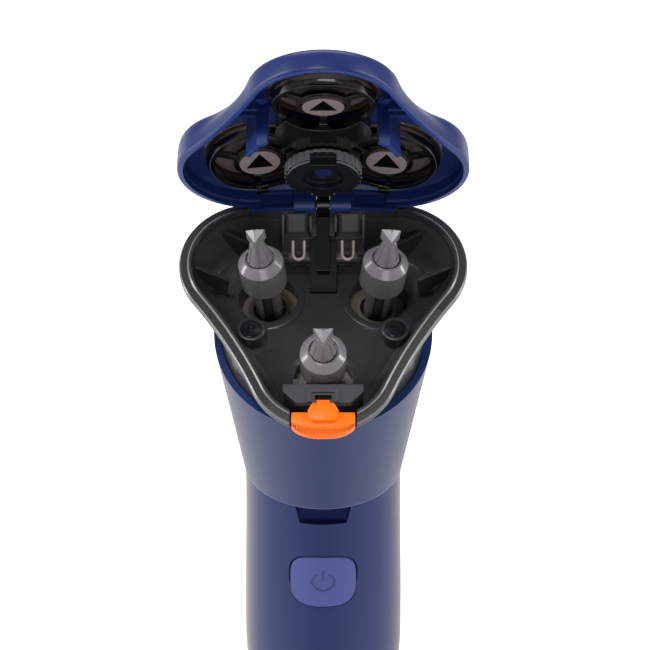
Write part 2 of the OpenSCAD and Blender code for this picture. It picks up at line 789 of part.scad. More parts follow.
module hinge_pin() {
    color(steel) at_hinge() translate([-lug_out + 0.2, 0, hinge_up]) rotate([0, 90, 0])
        rod(pin_r, 0, 2 * lug_out - 0.4);
}

// Black tongue that runs from the hinge down the ramp; its knuckle holds the pin between the lid's lugs
module hinge_tongue() {
    color(black) at_hinge() translate([-tongue_w / 2, 0, 0]) difference() {
        union() {
            rotate([90, 0, 90]) linear_extrude(tongue_w) tongue_side(0);
            translate([0, 0, hinge_up]) rotate([0, 90, 0]) rod(pin_r + 1, 0, tongue_w);
        }
        translate([-1, 0, hinge_up]) rotate([0, 90, 0]) rod(pin_r + 0.01, 0, tongue_w + 2);
    }
}

wire_r = 0.36;
bend_r = 1.2;
spring_x = 5.2;
module spring_wire(s, grow) {
    translate([s * spring_x, -6.6, -8]) rotate([52, 0, 0]) {
        rotate_extrude(angle = -180, $fn = round_fn) translate([bend_r, 0])
            circle(r = wire_r + grow, $fn = 16);
        for (x = [-bend_r, bend_r]) translate([x, 0, 0]) rotate([-90, 0, 0])
            cylinder(h = 3.2 + grow, r = wire_r + grow, $fn = 16);
    }
}

module hinge_springs() {
    color(steel) at_hinge() for (s = [-1, 1]) spring_wire(s, 0);
}

// ---- Release button and its bracket ----
module release_bracket() {
    color(graphite) difference() {
        at_front() difference() {
            union() {
                translate([0, 0, -3.6]) linear_extrude(1.4)
                    polygon([[-8.2, 12.4], [8.2, 12.4], [8.2, 10.6], [5.6, 8], [-5.6, 8], [-8.2, 10.6]]);
                translate([0, 12, 0]) rotate([90, 0, 0]) linear_extrude(1.2)
                    polygon([[-6, floor_z + 0.05], [6, floor_z + 0.05], [6, -9.4], [8.2, -8.2], [8.2, -3],
                        [-8.2, -3], [-8.2, -8.2], [-6, -9.4]]);
                for (s = [-1, 1])
                    block([s * 5.6 - 0.5, 11.9, floor_z + 0.05], [s * 5.6 + 0.5, 13.8, -2.6]);
                // Raised frame around the notch
                difference() {
                    block([-3.2, 8.1, -3], [3.2, 11, -1.75]);
                    block([-2.4, 7, -2.2], [2.4, 10.3, -1]);
                }
            }
            block([-1.7, 8.6, -5], [1.7, 9.8, 0]);
        }
        in_head() unit(FRONT) rod(recess_r + 0.1, -1, 8);
    }
}

module release_button() {
    w = release_w / 2;
    color(orange) at_front() {
        difference() {
            translate([0, 0, -2.6]) linear_extrude(2.8)
                polygon([[-w, 4.3], [w, 4.3], [w, 2], [w - 1.8, 0], [w - 3.4, -0.7],
                    [3.4 - w, -0.7], [1.8 - w, 0], [-w, 2]]);
            for (i = [-4 : 4]) translate([i * 1.25, -1.1, -0.9]) rotate([0, 0, 30])
                block([-0.22, -1, -1], [0.22, 1.2, 2]);
        }
        // Hooked nub that holds the lid shut, and the tail behind it
        translate([0, 0, 0.2 - eps]) linear_extrude(1)
            polygon([[-2.4, 5.6], [2.4, 5.6], [3.1, 4.2], [3.1, 3], [2.2, 1.8], [-2.2, 1.8],
                [-3.1, 3], [-3.1, 4.2]]);
        block([-2.2, 4.25, -1.6], [2.2, 6.4, 0.2]);
        block([-1.3, 6.2, -2.1], [1.3, 7.6, -0.6]);
    }
}

// ---- Lid ----
knob_y = hinge_back - 14.2;
knob_r = 8;
knob_hole = 4.2;
frame_bottom = 17.7;
frame_top = 18.9;
hub_bottom_u = 17.4;
post_foot = -3.9;
stub_r = 1.9;
skirt_drop = -0.6;
skirt_y = hinge_back - 1.8;
post_x = lobe_r - 2.9;
guard_top = 23.7;
flange_top = 20.9;
flange_t = 0.6;

// Room in the lid for the release button's nub
module catch_notch() {
    block([-3.6, 1.34 - front_y, -1], [3.6, 7.2 - front_y, 1.7]);
}

module lid_shell() {
    color(royal) in_lid() difference() {
        union() {
            difference() {
                lobed([[0.1, lid_gap], [-0.1, lid_gap + 0.4], [-0.1, lid_h - 1], [0.15, lid_h - 0.35],
                    [0.7, lid_h], [2.2, lid_h + 0.9], [4.6, lid_h + 1.5]]);
                lobed([[lid_wall + 0.05, lid_gap - 1], [lid_wall - 0.1, lid_h - 1.3],
                    [lid_wall + 1, lid_h - 0.65], [4.6, lid_h + 0.05]]);
            }
            for (s = [-1, 1]) {
                // Lugs around the hinge pin
                translate([mirrored(s, lug_in, lug_out)[0], hinge_back, hinge_up]) rotate([0, 90, 0])
                    rod(pin_r + 1.1, 0, lug_out - lug_in);
                translate([mirrored(s, lug_in, lug_out)[0], hinge_back - 1.9, hinge_up])
                    cube([lug_out - lug_in, 2.6, lid_h - hinge_up - 0.4]);
                // L-shaped posts, tied to the wall by two ribs each
                translate([0, 0, post_foot]) linear_extrude(lid_h + 0.4 - post_foot) scale([s, 1])
                    polygon([[post_x - 1.8, -10.7], [post_x - 1.5, -11.4], [post_x + 0.7, -10.2],
                        [post_x + 2.9, -5.8], [post_x + 2.1, -5.3], [post_x, -9.5]]);
                for (y = [-9.9, -12.4]) let (reach = waist_x(y, 2.2))
                    translate([mirrored(s, post_x + 0.3, reach)[0], y, lid_h - 2])
                        cube([reach - post_x - 0.3, 0.8, 2.4]);
                translate([s * (post_x - 0.1), -15, 0]) rod(0.8, lid_h - 1.7, lid_h + 0.3);
            }
            // Stub that the lock knob turns on
            translate([0, knob_y, 0]) rod(stub_r, 0.6, lid_h + 0.6);
            // The skirt drops behind the lowered rear edge of the chamber
            intersection() {
                difference() {
                    lobed([[0.15, skirt_drop], [-0.05, skirt_drop + 0.4], [-0.05, 1]]);
                    lobed([[lid_wall + 0.05, skirt_drop - 1], [lid_wall + 0.05, 2]]);
                }
                block([-big, skirt_y, -2], [big, big, 0.8]);
            }
        }
        // Openings for the three guards, narrower above the guards' flanges
        for (s = SIDES) unit(s) {
            rod(guard_r - 0.2, frame_bottom - 0.4, 40);
            rod(guard_r + 0.35, frame_bottom - 0.4, flange_top + 0.1);
        }
        translate([-lug_out - 0.1, hinge_back, hinge_up]) rotate([0, 90, 0])
            rod(pin_r + 0.07, 0, 2 * lug_out + 0.2);
        // Slot that the black tongue's knuckle swings in
        block([-lug_in, hinge_back - 2.4, -2], [lug_in, hinge_back + 5, hinge_up + pin_r + 1.4]);
        catch_notch();
        // Pockets beside the lugs
        for (s = [-1, 1]) translate([mirrored(s, lug_out + 0.2, 13.2)[0], hinge_back - 3, 0])
            cube([13 - lug_out, 2.75, 3.1]);
    }
}

// Black frame that holds the cutters in the lid
module retaining_frame() {
    color(black) in_lid() difference() {
        union() {
            for (s = SIDES) unit(s) {
                difference() {
                    translate([0, 0, frame_bottom])
                        cylinder(h = frame_top - frame_bottom, r1 = guard_r - 0.9, r2 = guard_r - 0.2,
                            $fn = round_fn);
                    rod(guard_r - 1.9, frame_bottom - 1, frame_top + 1);
                }
                tube(5.5, 4.6, frame_bottom + 0.2, frame_top);
                for (a = [55, 180, 305]) rotate([0, 0, a])
                    block([5.2, -0.8, frame_bottom], [guard_r - 1, 0.8, frame_bottom + 0.8]);
            }
            // Body between the rings
            difference() {
                translate([0, -3.4, 0]) rod(9.8, 2.05, 4.3);
                for (s = SIDES) unit(s) rod(guard_r - 1.9, 10, 30);
            }
            translate([0, knob_y, 0]) rod(4.6, 2.05, 4.5);
            // Wedge clips on the outer sides of the two rear rings
            for (s = [-1, 1]) unit(s > 0 ? RIGHT : LEFT) rotate([0, 0, s * 62])
                block([guard_r - 1.7, -1.2, frame_bottom - 0.9], [guard_r - 0.45, 1.2, frame_top - 0.15]);
        }
        translate([0, knob_y, 0]) rod(stub_r + 0.1, 0, 8);
        catch_notch();
    }
}

module lock_knob() {
    color(graphite) in_lid() translate([0, knob_y, 0]) difference() {
        union() {
            rod(knob_r, -0.6, 1.7);
            rod(knob_r - 0.5, -1, 1.7);
        }
        rod(stub_r + 0.06, -2, 4);
        rod(knob_hole, -2, 0.4);
        // Knurl, and the notches in the rim
        for (a = [0 : 12 : 348]) rotate([0, 0, a]) translate([knob_r + 0.25, 0, -2])
            cylinder(h = 5, r = 0.55, $fn = 8);
        rotate([0, 0, -90]) block([knob_r - 2.2, -2.7, -2], [knob_r + 2, 2.7, 1]);
        for (a = [65, 115]) rotate([0, 0, a]) block([knob_r - 1.6, -0.8, -2], [knob_r + 2, 0.8, 0]);
    }
}

// ---- Shaving heads ----
module guard(side) {
    color(steel) in_lid() unit(side) difference() {
        union() {
            rod(guard_r, flange_top - flange_t, flange_top);
            rod(guard_r - 0.5, flange_top - flange_t, guard_top - 0.5);
            translate([0, 0, guard_top - 0.5 - eps])
                cylinder(h = 0.5, r1 = guard_r - 0.5, r2 = guard_r - 1, $fn = round_fn);
        }
        rod(guard_r - 1.1, guard_top - 4.4, guard_top - 0.4);
        // Dish in the middle, and the slots that let hairs in
        rod(4.6, guard_top - 0.15, guard_top + 1);
        for (i = [0 : guard_slots - 1]) rotate([0, 0, i * 360 / guard_slots])
            block([5.4, -0.17, guard_top - 1], [guard_r - 1.7, 0.17, guard_top + 1]);
    }
}

module guard_front() guard(FRONT);
module guard_right() guard(RIGHT);
module guard_left() guard(LEFT);

module cutter(side) {
    plate = guard_top - 2;
    color([0.62, 0.56, 0.52]) in_lid() unit(side) difference() {
        union() {
            rod(4.2, hub_bottom_u, plate);
            rod(guard_r - 1.4, plate - 0.5, plate);
            rod(5.4, plate - 1.2, plate);
            for (i = [0 : blades - 1]) rotate([0, 0, i * 360 / blades])
                block([6, -0.3, plate - eps], [guard_r - 1.5, 0.3, guard_top - 0.45]);
            rod(4.2, plate - eps, guard_top - 0.8);
        }
        // Socket for the spindle's tip, and the windows in the plate
        translate([0, 0, hub_bottom_u - 1]) linear_extrude(guard_top - hub_bottom_u - 0.15)
            circle(r = tip_r + 1.05, $fn = 3);
        for (i = [0 : 2]) rotate([0, 0, 60 + i * 120])
            block([guard_r - 5.2, -1.2, plate - 2], [guard_r - 3, 1.2, plate + 0.2]);
    }
}

module cutter_front() cutter(FRONT);
module cutter_right() cutter(RIGHT);
module cutter_left() cutter(LEFT);

front_shell();
rear_shell();
base_cap();
base_screws();
inlet_pins();
battery();
battery_cradle();
circuit_board();
tact_switch();
motor();
motor_screws();
collar();
hair_chamber();
chamber_screws();
gear_housing();
shaft_seals();
hinge_bracket();
hinge_pin();
hinge_tongue();
hinge_springs();
release_bracket();
release_button();
power_button();
pinion();
gear_front();
gear_right();
gear_left();
shaft_front();
shaft_right();
shaft_left();
cap_front();
cap_right();
cap_left();
lid_shell();
retaining_frame();
lock_knob();
guard_front();
guard_right();
guard_left();
cutter_front();
cutter_right();
cutter_left();
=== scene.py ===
import bmesh
import bpy
import json
from math import atan2, copysign, cos, degrees, hypot, pi, radians, sin, sqrt
from mathutils import Matrix, Vector


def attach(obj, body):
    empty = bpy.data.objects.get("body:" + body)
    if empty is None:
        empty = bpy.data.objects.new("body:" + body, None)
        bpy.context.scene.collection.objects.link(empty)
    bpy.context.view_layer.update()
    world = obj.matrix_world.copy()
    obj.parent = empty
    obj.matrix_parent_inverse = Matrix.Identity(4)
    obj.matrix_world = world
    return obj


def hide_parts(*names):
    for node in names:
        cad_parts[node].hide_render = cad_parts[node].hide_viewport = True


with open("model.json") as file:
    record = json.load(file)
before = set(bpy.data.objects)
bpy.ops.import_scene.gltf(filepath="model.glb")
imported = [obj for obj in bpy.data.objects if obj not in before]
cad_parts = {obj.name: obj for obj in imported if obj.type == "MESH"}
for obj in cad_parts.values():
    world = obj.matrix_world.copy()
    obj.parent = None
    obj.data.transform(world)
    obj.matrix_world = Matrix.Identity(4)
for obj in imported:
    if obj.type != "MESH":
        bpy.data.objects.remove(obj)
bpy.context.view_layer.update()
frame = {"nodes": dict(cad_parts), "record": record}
MM = 0.001

# ---- Sizes that part.scad has too, in millimetres and degrees ----
# Head
HEAD_W = 60.0
LOBE_CIRCLE = 16.7
WAIST_R = 110.0
HEAD_TILT = 20.0
HEAD_Z = 132.0
HEAD_BACK = -2.3
CHAMBER_DEPTH = 10.6
WALL = 1.6
FLOOR_T = 1.5
# Lid and hinge
LID_OPEN = 82.7
LID_H = 5.2
LID_WALL = 1.2
LID_GAP = 0.3
HINGE_IN = 0.05
HINGE_UP = 1.0
PIN_R = 0.9
LUG_OUT = 6.2
KNOB_R = 8.0
STUB_R = 1.9
POST_FOOT = -3.9
# Spindles, cutters and guards
FAN = 7.3
SEAT_R = 12.8
SEAL_DROP = 4.6
RECESS_R = 6.15
GUARD_IN = 4.34
# Heights along a spindle's axis, from its seal
CAP_EDGE = 16.9
HUB_END = 17.4
GUARD_TOP = 23.7
# Chamber: its rear edge, the trench for the hinge bracket's foot, and the bosses for its screws
REAR_EDGE_Z = -1.3
TRENCH_D = 0.8
BOSS_X = HEAD_W / 2 - 15
BOSS_Y = -3
BOSS_H = 3.3
BOSS_R = 2.9
# Handle
HANDLE_W = 34.9
NECK_W = 33.5
BASE_W = 29.0
HANDLE_FRONT = 15.8
NECK_FRONT = HANDLE_FRONT * NECK_W / HANDLE_W
NECK_REAR = 20.0
BELLY_Z = 38.0
BELLY_REAR = 18.2
SHELL = 1.8
SEAM_Y = 3
BASE_H = 3.6
SPIGOT_IN = 2.2
SPIGOT_H = 5
POCKET_H = 4.6
POCKET_W = 12
POCKET_D = 1.1
SCREW_X = 9
INLET_W = 8
INLET_D = 5.6
INLET_Y = 3
INLET_DEPTH = 9
# Collar
COLLAR_Z = 86.0
COLLAR_TOP = HEAD_Z + 4
COLLAR_R = 23.4
COLLAR_REAR = 24.2
COLLAR_DROP = 8
# Buttons
POWER_W = 14.6
POWER_H = 13.9
POWER_Z = 65.4
RELEASE_W = 12.9
BUTTON_GAP = 0.35

# ---- Sizes of this scene's own pieces ----
# Joined solids overlap by EPS; cuts run FAR past the handle's sides and BIG past the head's
EPS = 0.01
FAR = 50
BIG = 80
# Collar: where its top is widest, the rings of its loft, and the height of the painted highlight line at its
# foot
COLLAR_MIDDLE_Y = -5.8
COLLAR_STEPS = 24
HIGHLIGHT_STRIP = 0.27
# Chamber: half widths of the step at its rear edge, of the hinge's room and of the trench
STEP_X = 15.6
HINGE_ROOM_X = 8.71
TRENCH_X = 9.6
# Its mouth, its lip and its shoulder, as distances inside the outline and heights in the head's frame
MOUTH_IN = 2.6
LIP_IN = 1.75
SHOULDER_IN = 0.9
SHOULDER_TOP = -1.8
SHOULDER_FOOT = -8.7
RIB_HALF = 0.4
CUP_HOLE_R = 4.1
# Holes for screws, in the chamber and in the base
SCREW_R = 1.3
SCREW_HEAD_R = 2.2
BASE_SCREW_HEAD_R = 2.6
# Lid: inner end of the lugs, length of their round part, half the pin hole's length, and inside of the skirt
LUG_IN = 1.38
LUG_ROUND = 4.45
PIN_HALF = 6.15
SKIRT_IN = 1.25
# Power button: its half sizes are a little below the solid's
POWER_HALF_W = POWER_W / 2 - 0.2
POWER_HALF_H = POWER_H / 2 - 0.1

# ---- Worked out from these ----
FLOOR = -CHAMBER_DEPTH
SEAL_Z = FLOOR - SEAL_DROP
SIDES = {"front": -90.0, "right": 30.0, "left": 150.0}
LOBE_R = HEAD_W / 2 - LOBE_CIRCLE * cos(radians(30))
FRONT_Y = LOBE_CIRCLE + LOBE_R
GUARD_R = LOBE_R - GUARD_IN
POST_X = LOBE_R - 2.9


def waist_distance(waist_r):
    """From the head's axis to the centre of a waist's arc, which touches the lobes on both sides."""
    total = LOBE_R + waist_r
    return (LOBE_CIRCLE + sqrt(LOBE_CIRCLE ** 2 - 4 * (LOBE_CIRCLE ** 2 - total ** 2))) / 2


WAIST_M = waist_distance(WAIST_R)
HINGE_Y = WAIST_M - WAIST_R - HINGE_IN
STEP_Y = HINGE_Y - 2.8
SKIRT_Y = HINGE_Y - 1.8
TRENCH_Y = HINGE_Y - 10
KNOB_Y = HINGE_Y - 14.2


# ---- Places: head and lid have frames of their own, and so has each spindle ----
def move(x, y, z):
    return Matrix.Translation((x, y, z))


def turn(deg, axis):
    return Matrix.Rotation(radians(deg), 4, axis)


IDENT = Matrix.Identity(4)
HEAD = move(0, HEAD_BACK, HEAD_Z) @ turn(HEAD_TILT, "X")
LID = HEAD @ move(0, HINGE_Y, HINGE_UP) @ turn(-LID_OPEN, "X") @ move(0, -HINGE_Y, -HINGE_UP)
RELEASE = HEAD @ move(0, -FRONT_Y, 0)


def unit(side):
    """The axis of one spindle, from its seal upwards, in the frame of the head or of the lid."""
    return turn(SIDES[side], "Z") @ move(SEAT_R, 0, SEAL_Z) @ turn(FAN, "Y")


def on_pin(x):
    """The hinge pin's axis, which runs from x to the right, in the lid's place."""
    return LID @ move(x, HINGE_Y, HINGE_UP) @ turn(90, "Y")


# ---- Solids, all in millimetres until they are finished ----
def new_object(bm):
    bmesh.ops.recalc_face_normals(bm, faces=bm.faces)
    mesh = bpy.data.meshes.new("solid")
    bm.to_mesh(mesh)
    bm.free()
    o = bpy.data.objects.new("solid", mesh)
    bpy.context.scene.collection.objects.link(o)
    return o


def loft(rings, matrix=IDENT):
    bm = bmesh.new()
    rows = [[bm.verts.new(matrix @ Vector(p)) for p in ring] for ring in rings]
    n = len(rings[0])
    for low, high in zip(rows, rows[1:]):
        for i in range(n):
            k = (i + 1) % n
            bm.faces.new((low[i], low[k], high[k], high[i]))
    bm.faces.new(rows[0][::-1])
    bm.faces.new(rows[-1])
    return new_object(bm)


def circle(r, z, n=72):
    return [(r * cos(2 * pi * i / n), r * sin(2 * pi * i / n), z) for i in range(n)]


def rod(r, z0, z1, matrix=IDENT, n=72, soft=0.0):
    """A cylinder from z0 to z1; soft is the radius that rounds its upper edge."""
    rings = [circle(r, z0, n)]
    if soft:
        for a in (0, pi / 8, pi / 4, 3 * pi / 8, pi / 2):
            rings.append(circle(r - soft * (1 - cos(a)), z1 - soft * (1 - sin(a)), n))
    else:
        rings.append(circle(r, z1, n))
    return loft(rings, matrix)


def prism(points, z0, z1, matrix=IDENT):
    return loft([[(x, y, z) for x, y in points] for z in (z0, z1)], matrix)


def block(lo, hi, matrix=IDENT):
    return prism([(lo[0], lo[1]), (hi[0], lo[1]), (hi[0], hi[1]), (lo[0], hi[1])], lo[2], hi[2], matrix)


def apply(target, others, how):
    for o in others:
        modifier = target.modifiers.new("b", "BOOLEAN")
        modifier.operation = how
        modifier.solver = "EXACT"
        modifier.object = o
    depsgraph = bpy.context.evaluated_depsgraph_get()
    result = bpy.data.meshes.new_from_object(target.evaluated_get(depsgraph))
    target.modifiers.clear()
    old = target.data
    target.data = result
    bpy.data.meshes.remove(old)
    for o in others:
        used = o.data
        bpy.data.objects.remove(o)
        bpy.data.meshes.remove(used)
    return target


def cut(target, *others):
    return apply(target, others, "DIFFERENCE")


def join(target, *others):
    return apply(target, others, "UNION")


def common(target, *others):
    return apply(target, others, "INTERSECT")


def smooth(mesh, sharp=30):
    for p in mesh.polygons:
        p.use_smooth = True
    mesh.set_sharp_from_angle(angle=radians(sharp))


def finish(name, o, node, body, slot):
    """Scales a piece to metres, merges doubled points and shows the piece in the place of node."""
    o.name = name
    o.data.name = name
    o.data.transform(Matrix.Scale(MM, 4))
    bm = bmesh.new()
    bm.from_mesh(o.data)
    bmesh.ops.remove_doubles(bm, verts=bm.verts, dist=2e-7)
    bmesh.ops.dissolve_degenerate(bm, edges=bm.edges, dist=1e-7)
    bm.to_mesh(o.data)
    bm.free()
    o.data.materials.clear()
    o.data.materials.append(M[slot])
    smooth(o.data, 28)
    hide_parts(node)
    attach(o, body)
    return o


def shade(o, slot, place, test):
    """Gives slot's material to the faces of o that pass test(centre, normal), both seen from place."""
    mesh = o.data
    if M[slot].name not in mesh.materials:
        mesh.materials.append(M[slot])
    index = mesh.materials.find(M[slot].name)
    inverse = place.inverted()
    rotation = inverse.to_3x3()
    for p in mesh.polygons:
        if test(inverse @ (p.center / MM), rotation @ p.normal):
            p.material_index = index


def outward(at, normal):
    """Above 0 where a face turns away from the axis, below 0 where it turns towards it."""
    return at.x * normal.x + at.y * normal.y


# ---- Curves ----
def mix(a, b, t):
    return a + (b - a) * t


def ease(t):
    """Goes from 0 to 1 with level ends."""
    return 0 if t <= 0 else 1 if t >= 1 else t * t * (3 - 2 * t)


def swell(size, c, n):
    """One coordinate of a superellipse with exponent n, from the sine or cosine c."""
    return copysign(size * abs(c) ** (2 / n), c)


def rounded(profile, r, steps=4):
    """Rounds the corners of an [inset, height] profile."""
    out = [profile[0]]
    for a, b, c in zip(profile, profile[1:], profile[2:]):
        a, b, c = Vector(a), Vector(b), Vector(c)
        k = min(r, (a - b).length * 0.45, (c - b).length * 0.45)
        p = b + (a - b).normalized() * k
        q = b + (c - b).normalized() * k
        for i in range(steps + 1):
            t = i / steps
            out.append(tuple(p * (1 - t) ** 2 + b * 2 * t * (1 - t) + q * t * t))
    return out + [profile[-1]]


def oval(wide, front, back, middle, z, n=2.0, steps=120):
    """An ellipse in front of y = middle and a superellipse with exponent n behind it."""
    ring = []
    for i in range(steps):
        c = cos(2 * pi * i / steps)
        s = sin(2 * pi * i / steps)
        if s < 0:
            ring.append((wide * c, middle + front * s, z))
        else:
            ring.append((swell(wide, c, n), middle + swell(back, s, n), z))
    return ring


# ---- Outline of the head ----
def lobe_half(waist_m):
    """Half the angle of a lobe's arc, in degrees."""
    return degrees(atan2(waist_m * sin(radians(60)), waist_m * cos(radians(60)) - LOBE_CIRCLE))


def trefoil(inset, z, waist_r=WAIST_R, lobe_steps=40, waist_steps=14):
    """The outline moved inwards by inset; a smaller waist_r pinches it between the lobes."""
    waist_m = waist_distance(waist_r)
    half = lobe_half(waist_m)
    ring = []
    for t in SIDES.values():
        for i in range(lobe_steps + 1):
            a = radians(t - half + 2 * half * i / lobe_steps)
            ring.append((LOBE_CIRCLE * cos(radians(t)) + (LOBE_R - inset) * cos(a),
                         LOBE_CIRCLE * sin(radians(t)) + (LOBE_R - inset) * sin(a), z))
        for i in range(1, waist_steps):
            a = radians(t + 240 + (half - 60) * (1 - 2 * i / waist_steps))
            ring.append((waist_m * cos(radians(t + 60)) + (waist_r + inset) * cos(a),
                         waist_m * sin(radians(t + 60)) + (waist_r + inset) * sin(a), z))
    return ring


def inset_of(at):
    """How far a point lies inside the outline; negative outside it."""
    half = lobe_half(WAIST_M)
    from_lobes = []
    for t in SIDES.values():
        waist = Vector((WAIST_M * cos(radians(t + 60)), WAIST_M * sin(radians(t + 60))))
        arm = at.xy - waist
        if arm.length < WAIST_R + LOBE_R and arm.angle(-waist) < radians(half - 60):
            return arm.length - WAIST_R
        lobe = Vector((LOBE_CIRCLE * cos(radians(t)), LOBE_CIRCLE * sin(radians(t))))
        from_lobes.append((at.xy - lobe).length)
    return LOBE_R - min(from_lobes)


def lobed(profile, matrix=HEAD, shift=0.0):
    """Loft of the outline through [inset, height] pairs."""
    return loft([trefoil(inset + shift, z) for inset, z in profile], matrix)


def on_lobe(s, r, a):
    """A point of a rear lobe, at radius r and angle a; s is 1 for the right lobe and -1 for the left."""
    x = s * (LOBE_CIRCLE * cos(radians(30)) + r * cos(radians(a)))
    return Vector((x, LOBE_CIRCLE / 2 + r * sin(radians(a)), 0))


def waist_x(y, inset):
    """Half width of the outline at a waist, moved inwards by inset."""
    return WAIST_M * cos(radians(30)) - sqrt((WAIST_R + inset) ** 2 - (y + WAIST_M / 2) ** 2)


def mirrored(s, lo, hi):
    return (lo, hi) if s > 0 else (-hi, -lo)


# ---- Handle ----
def blend(base, belly, neck, z):
    """A size of the handle at height z, from its values at the base, belly and neck."""
    if z < BELLY_Z:
        return mix(base, belly, ease(z / BELLY_Z))
    return mix(belly, neck, ease((z - BELLY_Z) / (COLLAR_Z - BELLY_Z)))


def half_w(z):
    return blend(BASE_W, HANDLE_W, NECK_W, z) / 2


def front_d(z):
    return half_w(z) * HANDLE_FRONT / (HANDLE_W / 2)


def rear_d(z):
    return blend(BASE_W / 2, BELLY_REAR, NECK_REAR, z)


def handle_ring(inset, z, shape_z=None):
    """The outline moved inwards by inset, at height z, with the shape it has at shape_z or else at z."""
    at = z if shape_z is None else shape_z
    return oval(half_w(at) - inset, front_d(at) - inset, rear_d(at) - inset, 0, z)


def handle_solid(inset, z0, z1, step=2.5):
    n = max(1, round((z1 - z0) / step))
    return loft([handle_ring(inset, mix(z0, z1, i / n)) for i in range(n + 1)])


def spigot(inset, z0, z1):
    """What the collar sits on, at the top of the handle."""
    sizes = [size - SPIGOT_IN - inset for size in (NECK_W / 2, NECK_FRONT, NECK_REAR)]
    return loft([oval(*sizes, 0, z) for z in (z0, z1)])


def handle_shell():
    """Both halves of the handle in one piece."""
    outside = join(handle_solid(0, BASE_H, COLLAR_Z), spigot(0, COLLAR_Z - EPS, COLLAR_Z + SPIGOT_H))
    room_top = COLLAR_Z - 3
    return cut(outside, handle_solid(SHELL, BASE_H - 1, room_top),
               spigot(SHELL, room_top - EPS, COLLAR_Z + SPIGOT_H + 2))


def power_outline(grow, n=3.3, steps=96):
    """The power button's outline, a square with bulging sides, moved outwards by grow."""
    points = []
    for i in range(steps):
        a = 2 * pi * i / steps
        points.append((swell(POWER_HALF_W + grow, cos(a), n), swell(POWER_HALF_H + grow, sin(a), n)))
    return points


def facing(points, y0, y1):
    """A prism along y, from y0 to y1, whose points count from the height of the power button."""
    return prism(points, y0, y1, move(0, 0, POWER_Z) @ turn(90, "X") @ Matrix.Scale(-1, 4, (0, 0, 1)))


def front_cover():
    shell = cut(handle_shell(), block((-FAR, SEAM_Y, -1), (FAR, FAR, 110)),
                facing(power_outline(BUTTON_GAP), -FAR, 0))
    # The pocket under the collar widens upwards, and its floor slants
    half, top = POCKET_W / 2, POCKET_H + 0.1
    slant = Matrix(((1, 0, 0, 0), (0, 1, 0, 0), (0, -0.12, 1, 0), (0, 0, 0, 1)))
    place = move(0, POCKET_D - front_d(COLLAR_Z), COLLAR_Z - POCKET_H) @ turn(90, "X") @ slant
    return cut(shell, prism([(1 - half, 0), (half - 1, 0), (half, top), (-half, top)], -0.3, 5, place))


def rear_cover():
    return cut(handle_shell(), block((-FAR, -FAR, -1), (FAR, SEAM_Y + 0.05, 110)))


def base_plate():
    edge = [(1.6, 0), (1.2, 0.15), (0.8, 0.35), (0.5, 0.6), (0.2, 1.1), (0.03, 1.6), (0, 1.9)]
    rings = [handle_ring(inset, z) for inset, z in edge]
    rings.append(handle_ring(0, BASE_H - 0.05, BASE_H))
    # The inlet's socket, with its walls, and the holes for its pins
    x, y, wall = INLET_W / 2, INLET_D / 2, 1.4
    plate = join(loft(rings), block((-x - wall, INLET_Y - y - wall, BASE_H - 1),
                                    (x + wall, INLET_Y + y + wall, INLET_DEPTH + wall)))
    cuts = [block((-x, INLET_Y - y, -1), (x, INLET_Y + y, INLET_DEPTH))]
    for s in (-1, 1):
        cuts.append(rod(SCREW_R, -1, BASE_H + 2, move(s * SCREW_X, -4, 0)))
        cuts.append(rod(BASE_SCREW_HEAD_R, -1, 1.6, move(s * SCREW_X, -4, 0)))
        cuts.append(rod(0.7, INLET_DEPTH - 1, 12, move(s * 2.1, INLET_Y, 0)))
    return cut(plate, *cuts)


def power_key():
    layer = cut(handle_solid(-0.25, BASE_H, COLLAR_Z - 1), handle_solid(1.5, BASE_H - 1, COLLAR_Z))
    key = common(facing(power_outline(0), -FAR, -1), layer)
    stem_end = 13.15
    stem = rod(2.4, 0, front_d(POWER_Z) - 1 - stem_end, move(0, -stem_end, POWER_Z) @ turn(90, "X"))
    # Embossed power symbol: a broken ring, open at the top, and a stroke
    r, half, middle = 2.45, 0.21, 0.1
    angles = [radians(125 + 290 * i / 40) for i in range(41)]
    ring = [((r + half) * cos(a), middle + (r + half) * sin(a)) for a in angles]
    ring += [((r - half) * cos(a), middle + (r - half) * sin(a)) for a in reversed(angles)]
    stroke = [(x, middle + y) for x, y in ((-half, 0.35), (half, 0.35), (half, 2.95), (-half, 2.95))]
    sign = join(facing(ring, -FAR, -1), facing(stroke, -FAR, -1))
    sign = common(sign, cut(handle_solid(-0.4, 55, 78), handle_solid(0.4, 54, 79)))
    return join(key, stem, sign)


# ---- Collar ----
def collar_shape(inset, z):
    """Half width, depth in front and behind, the middle's y, and the exponent behind it."""
    t = (z - COLLAR_Z) / (COLLAR_TOP - COLLAR_Z)
    middle = mix(0, COLLAR_MIDDLE_Y, t)
    wide = mix(NECK_W / 2 + 0.15, COLLAR_R + 1.3, t) - inset
    front = mix(NECK_FRONT + 0.4, COLLAR_R + 2.5, t) - inset
    back = mix(NECK_REAR + 0.4, COLLAR_REAR, t) - middle - inset
    return wide, front, back, middle, mix(2, 4, ease(t * 1.7))


def collar_ring(inset, z):
    wide, front, back, middle, n = collar_shape(inset, z)
    return oval(wide, front, back, middle, z, n)


def collar_solid(inset, z0, z1):
    return loft([collar_ring(inset, mix(z0, z1, i / COLLAR_STEPS)) for i in range(COLLAR_STEPS + 1)])


def collar_reach(angle, z, inset):
    """Distance from the head's axis to the collar's inside, in the head's plane z."""
    inside, outside = 5.0, 40.0
    for _ in range(24):
        r = (inside + outside) / 2
        p = HEAD @ Vector((r * cos(angle), r * sin(angle), z))
        wide, front, back, middle, n = collar_shape(inset, p.z)
        deep = back
        if p.y < middle:
            deep = front
            n = 2
        if (abs(p.x) / wide) ** n + (abs(p.y - middle) / deep) ** n < 1:
            inside = r
        else:
            outside = r
    return inside


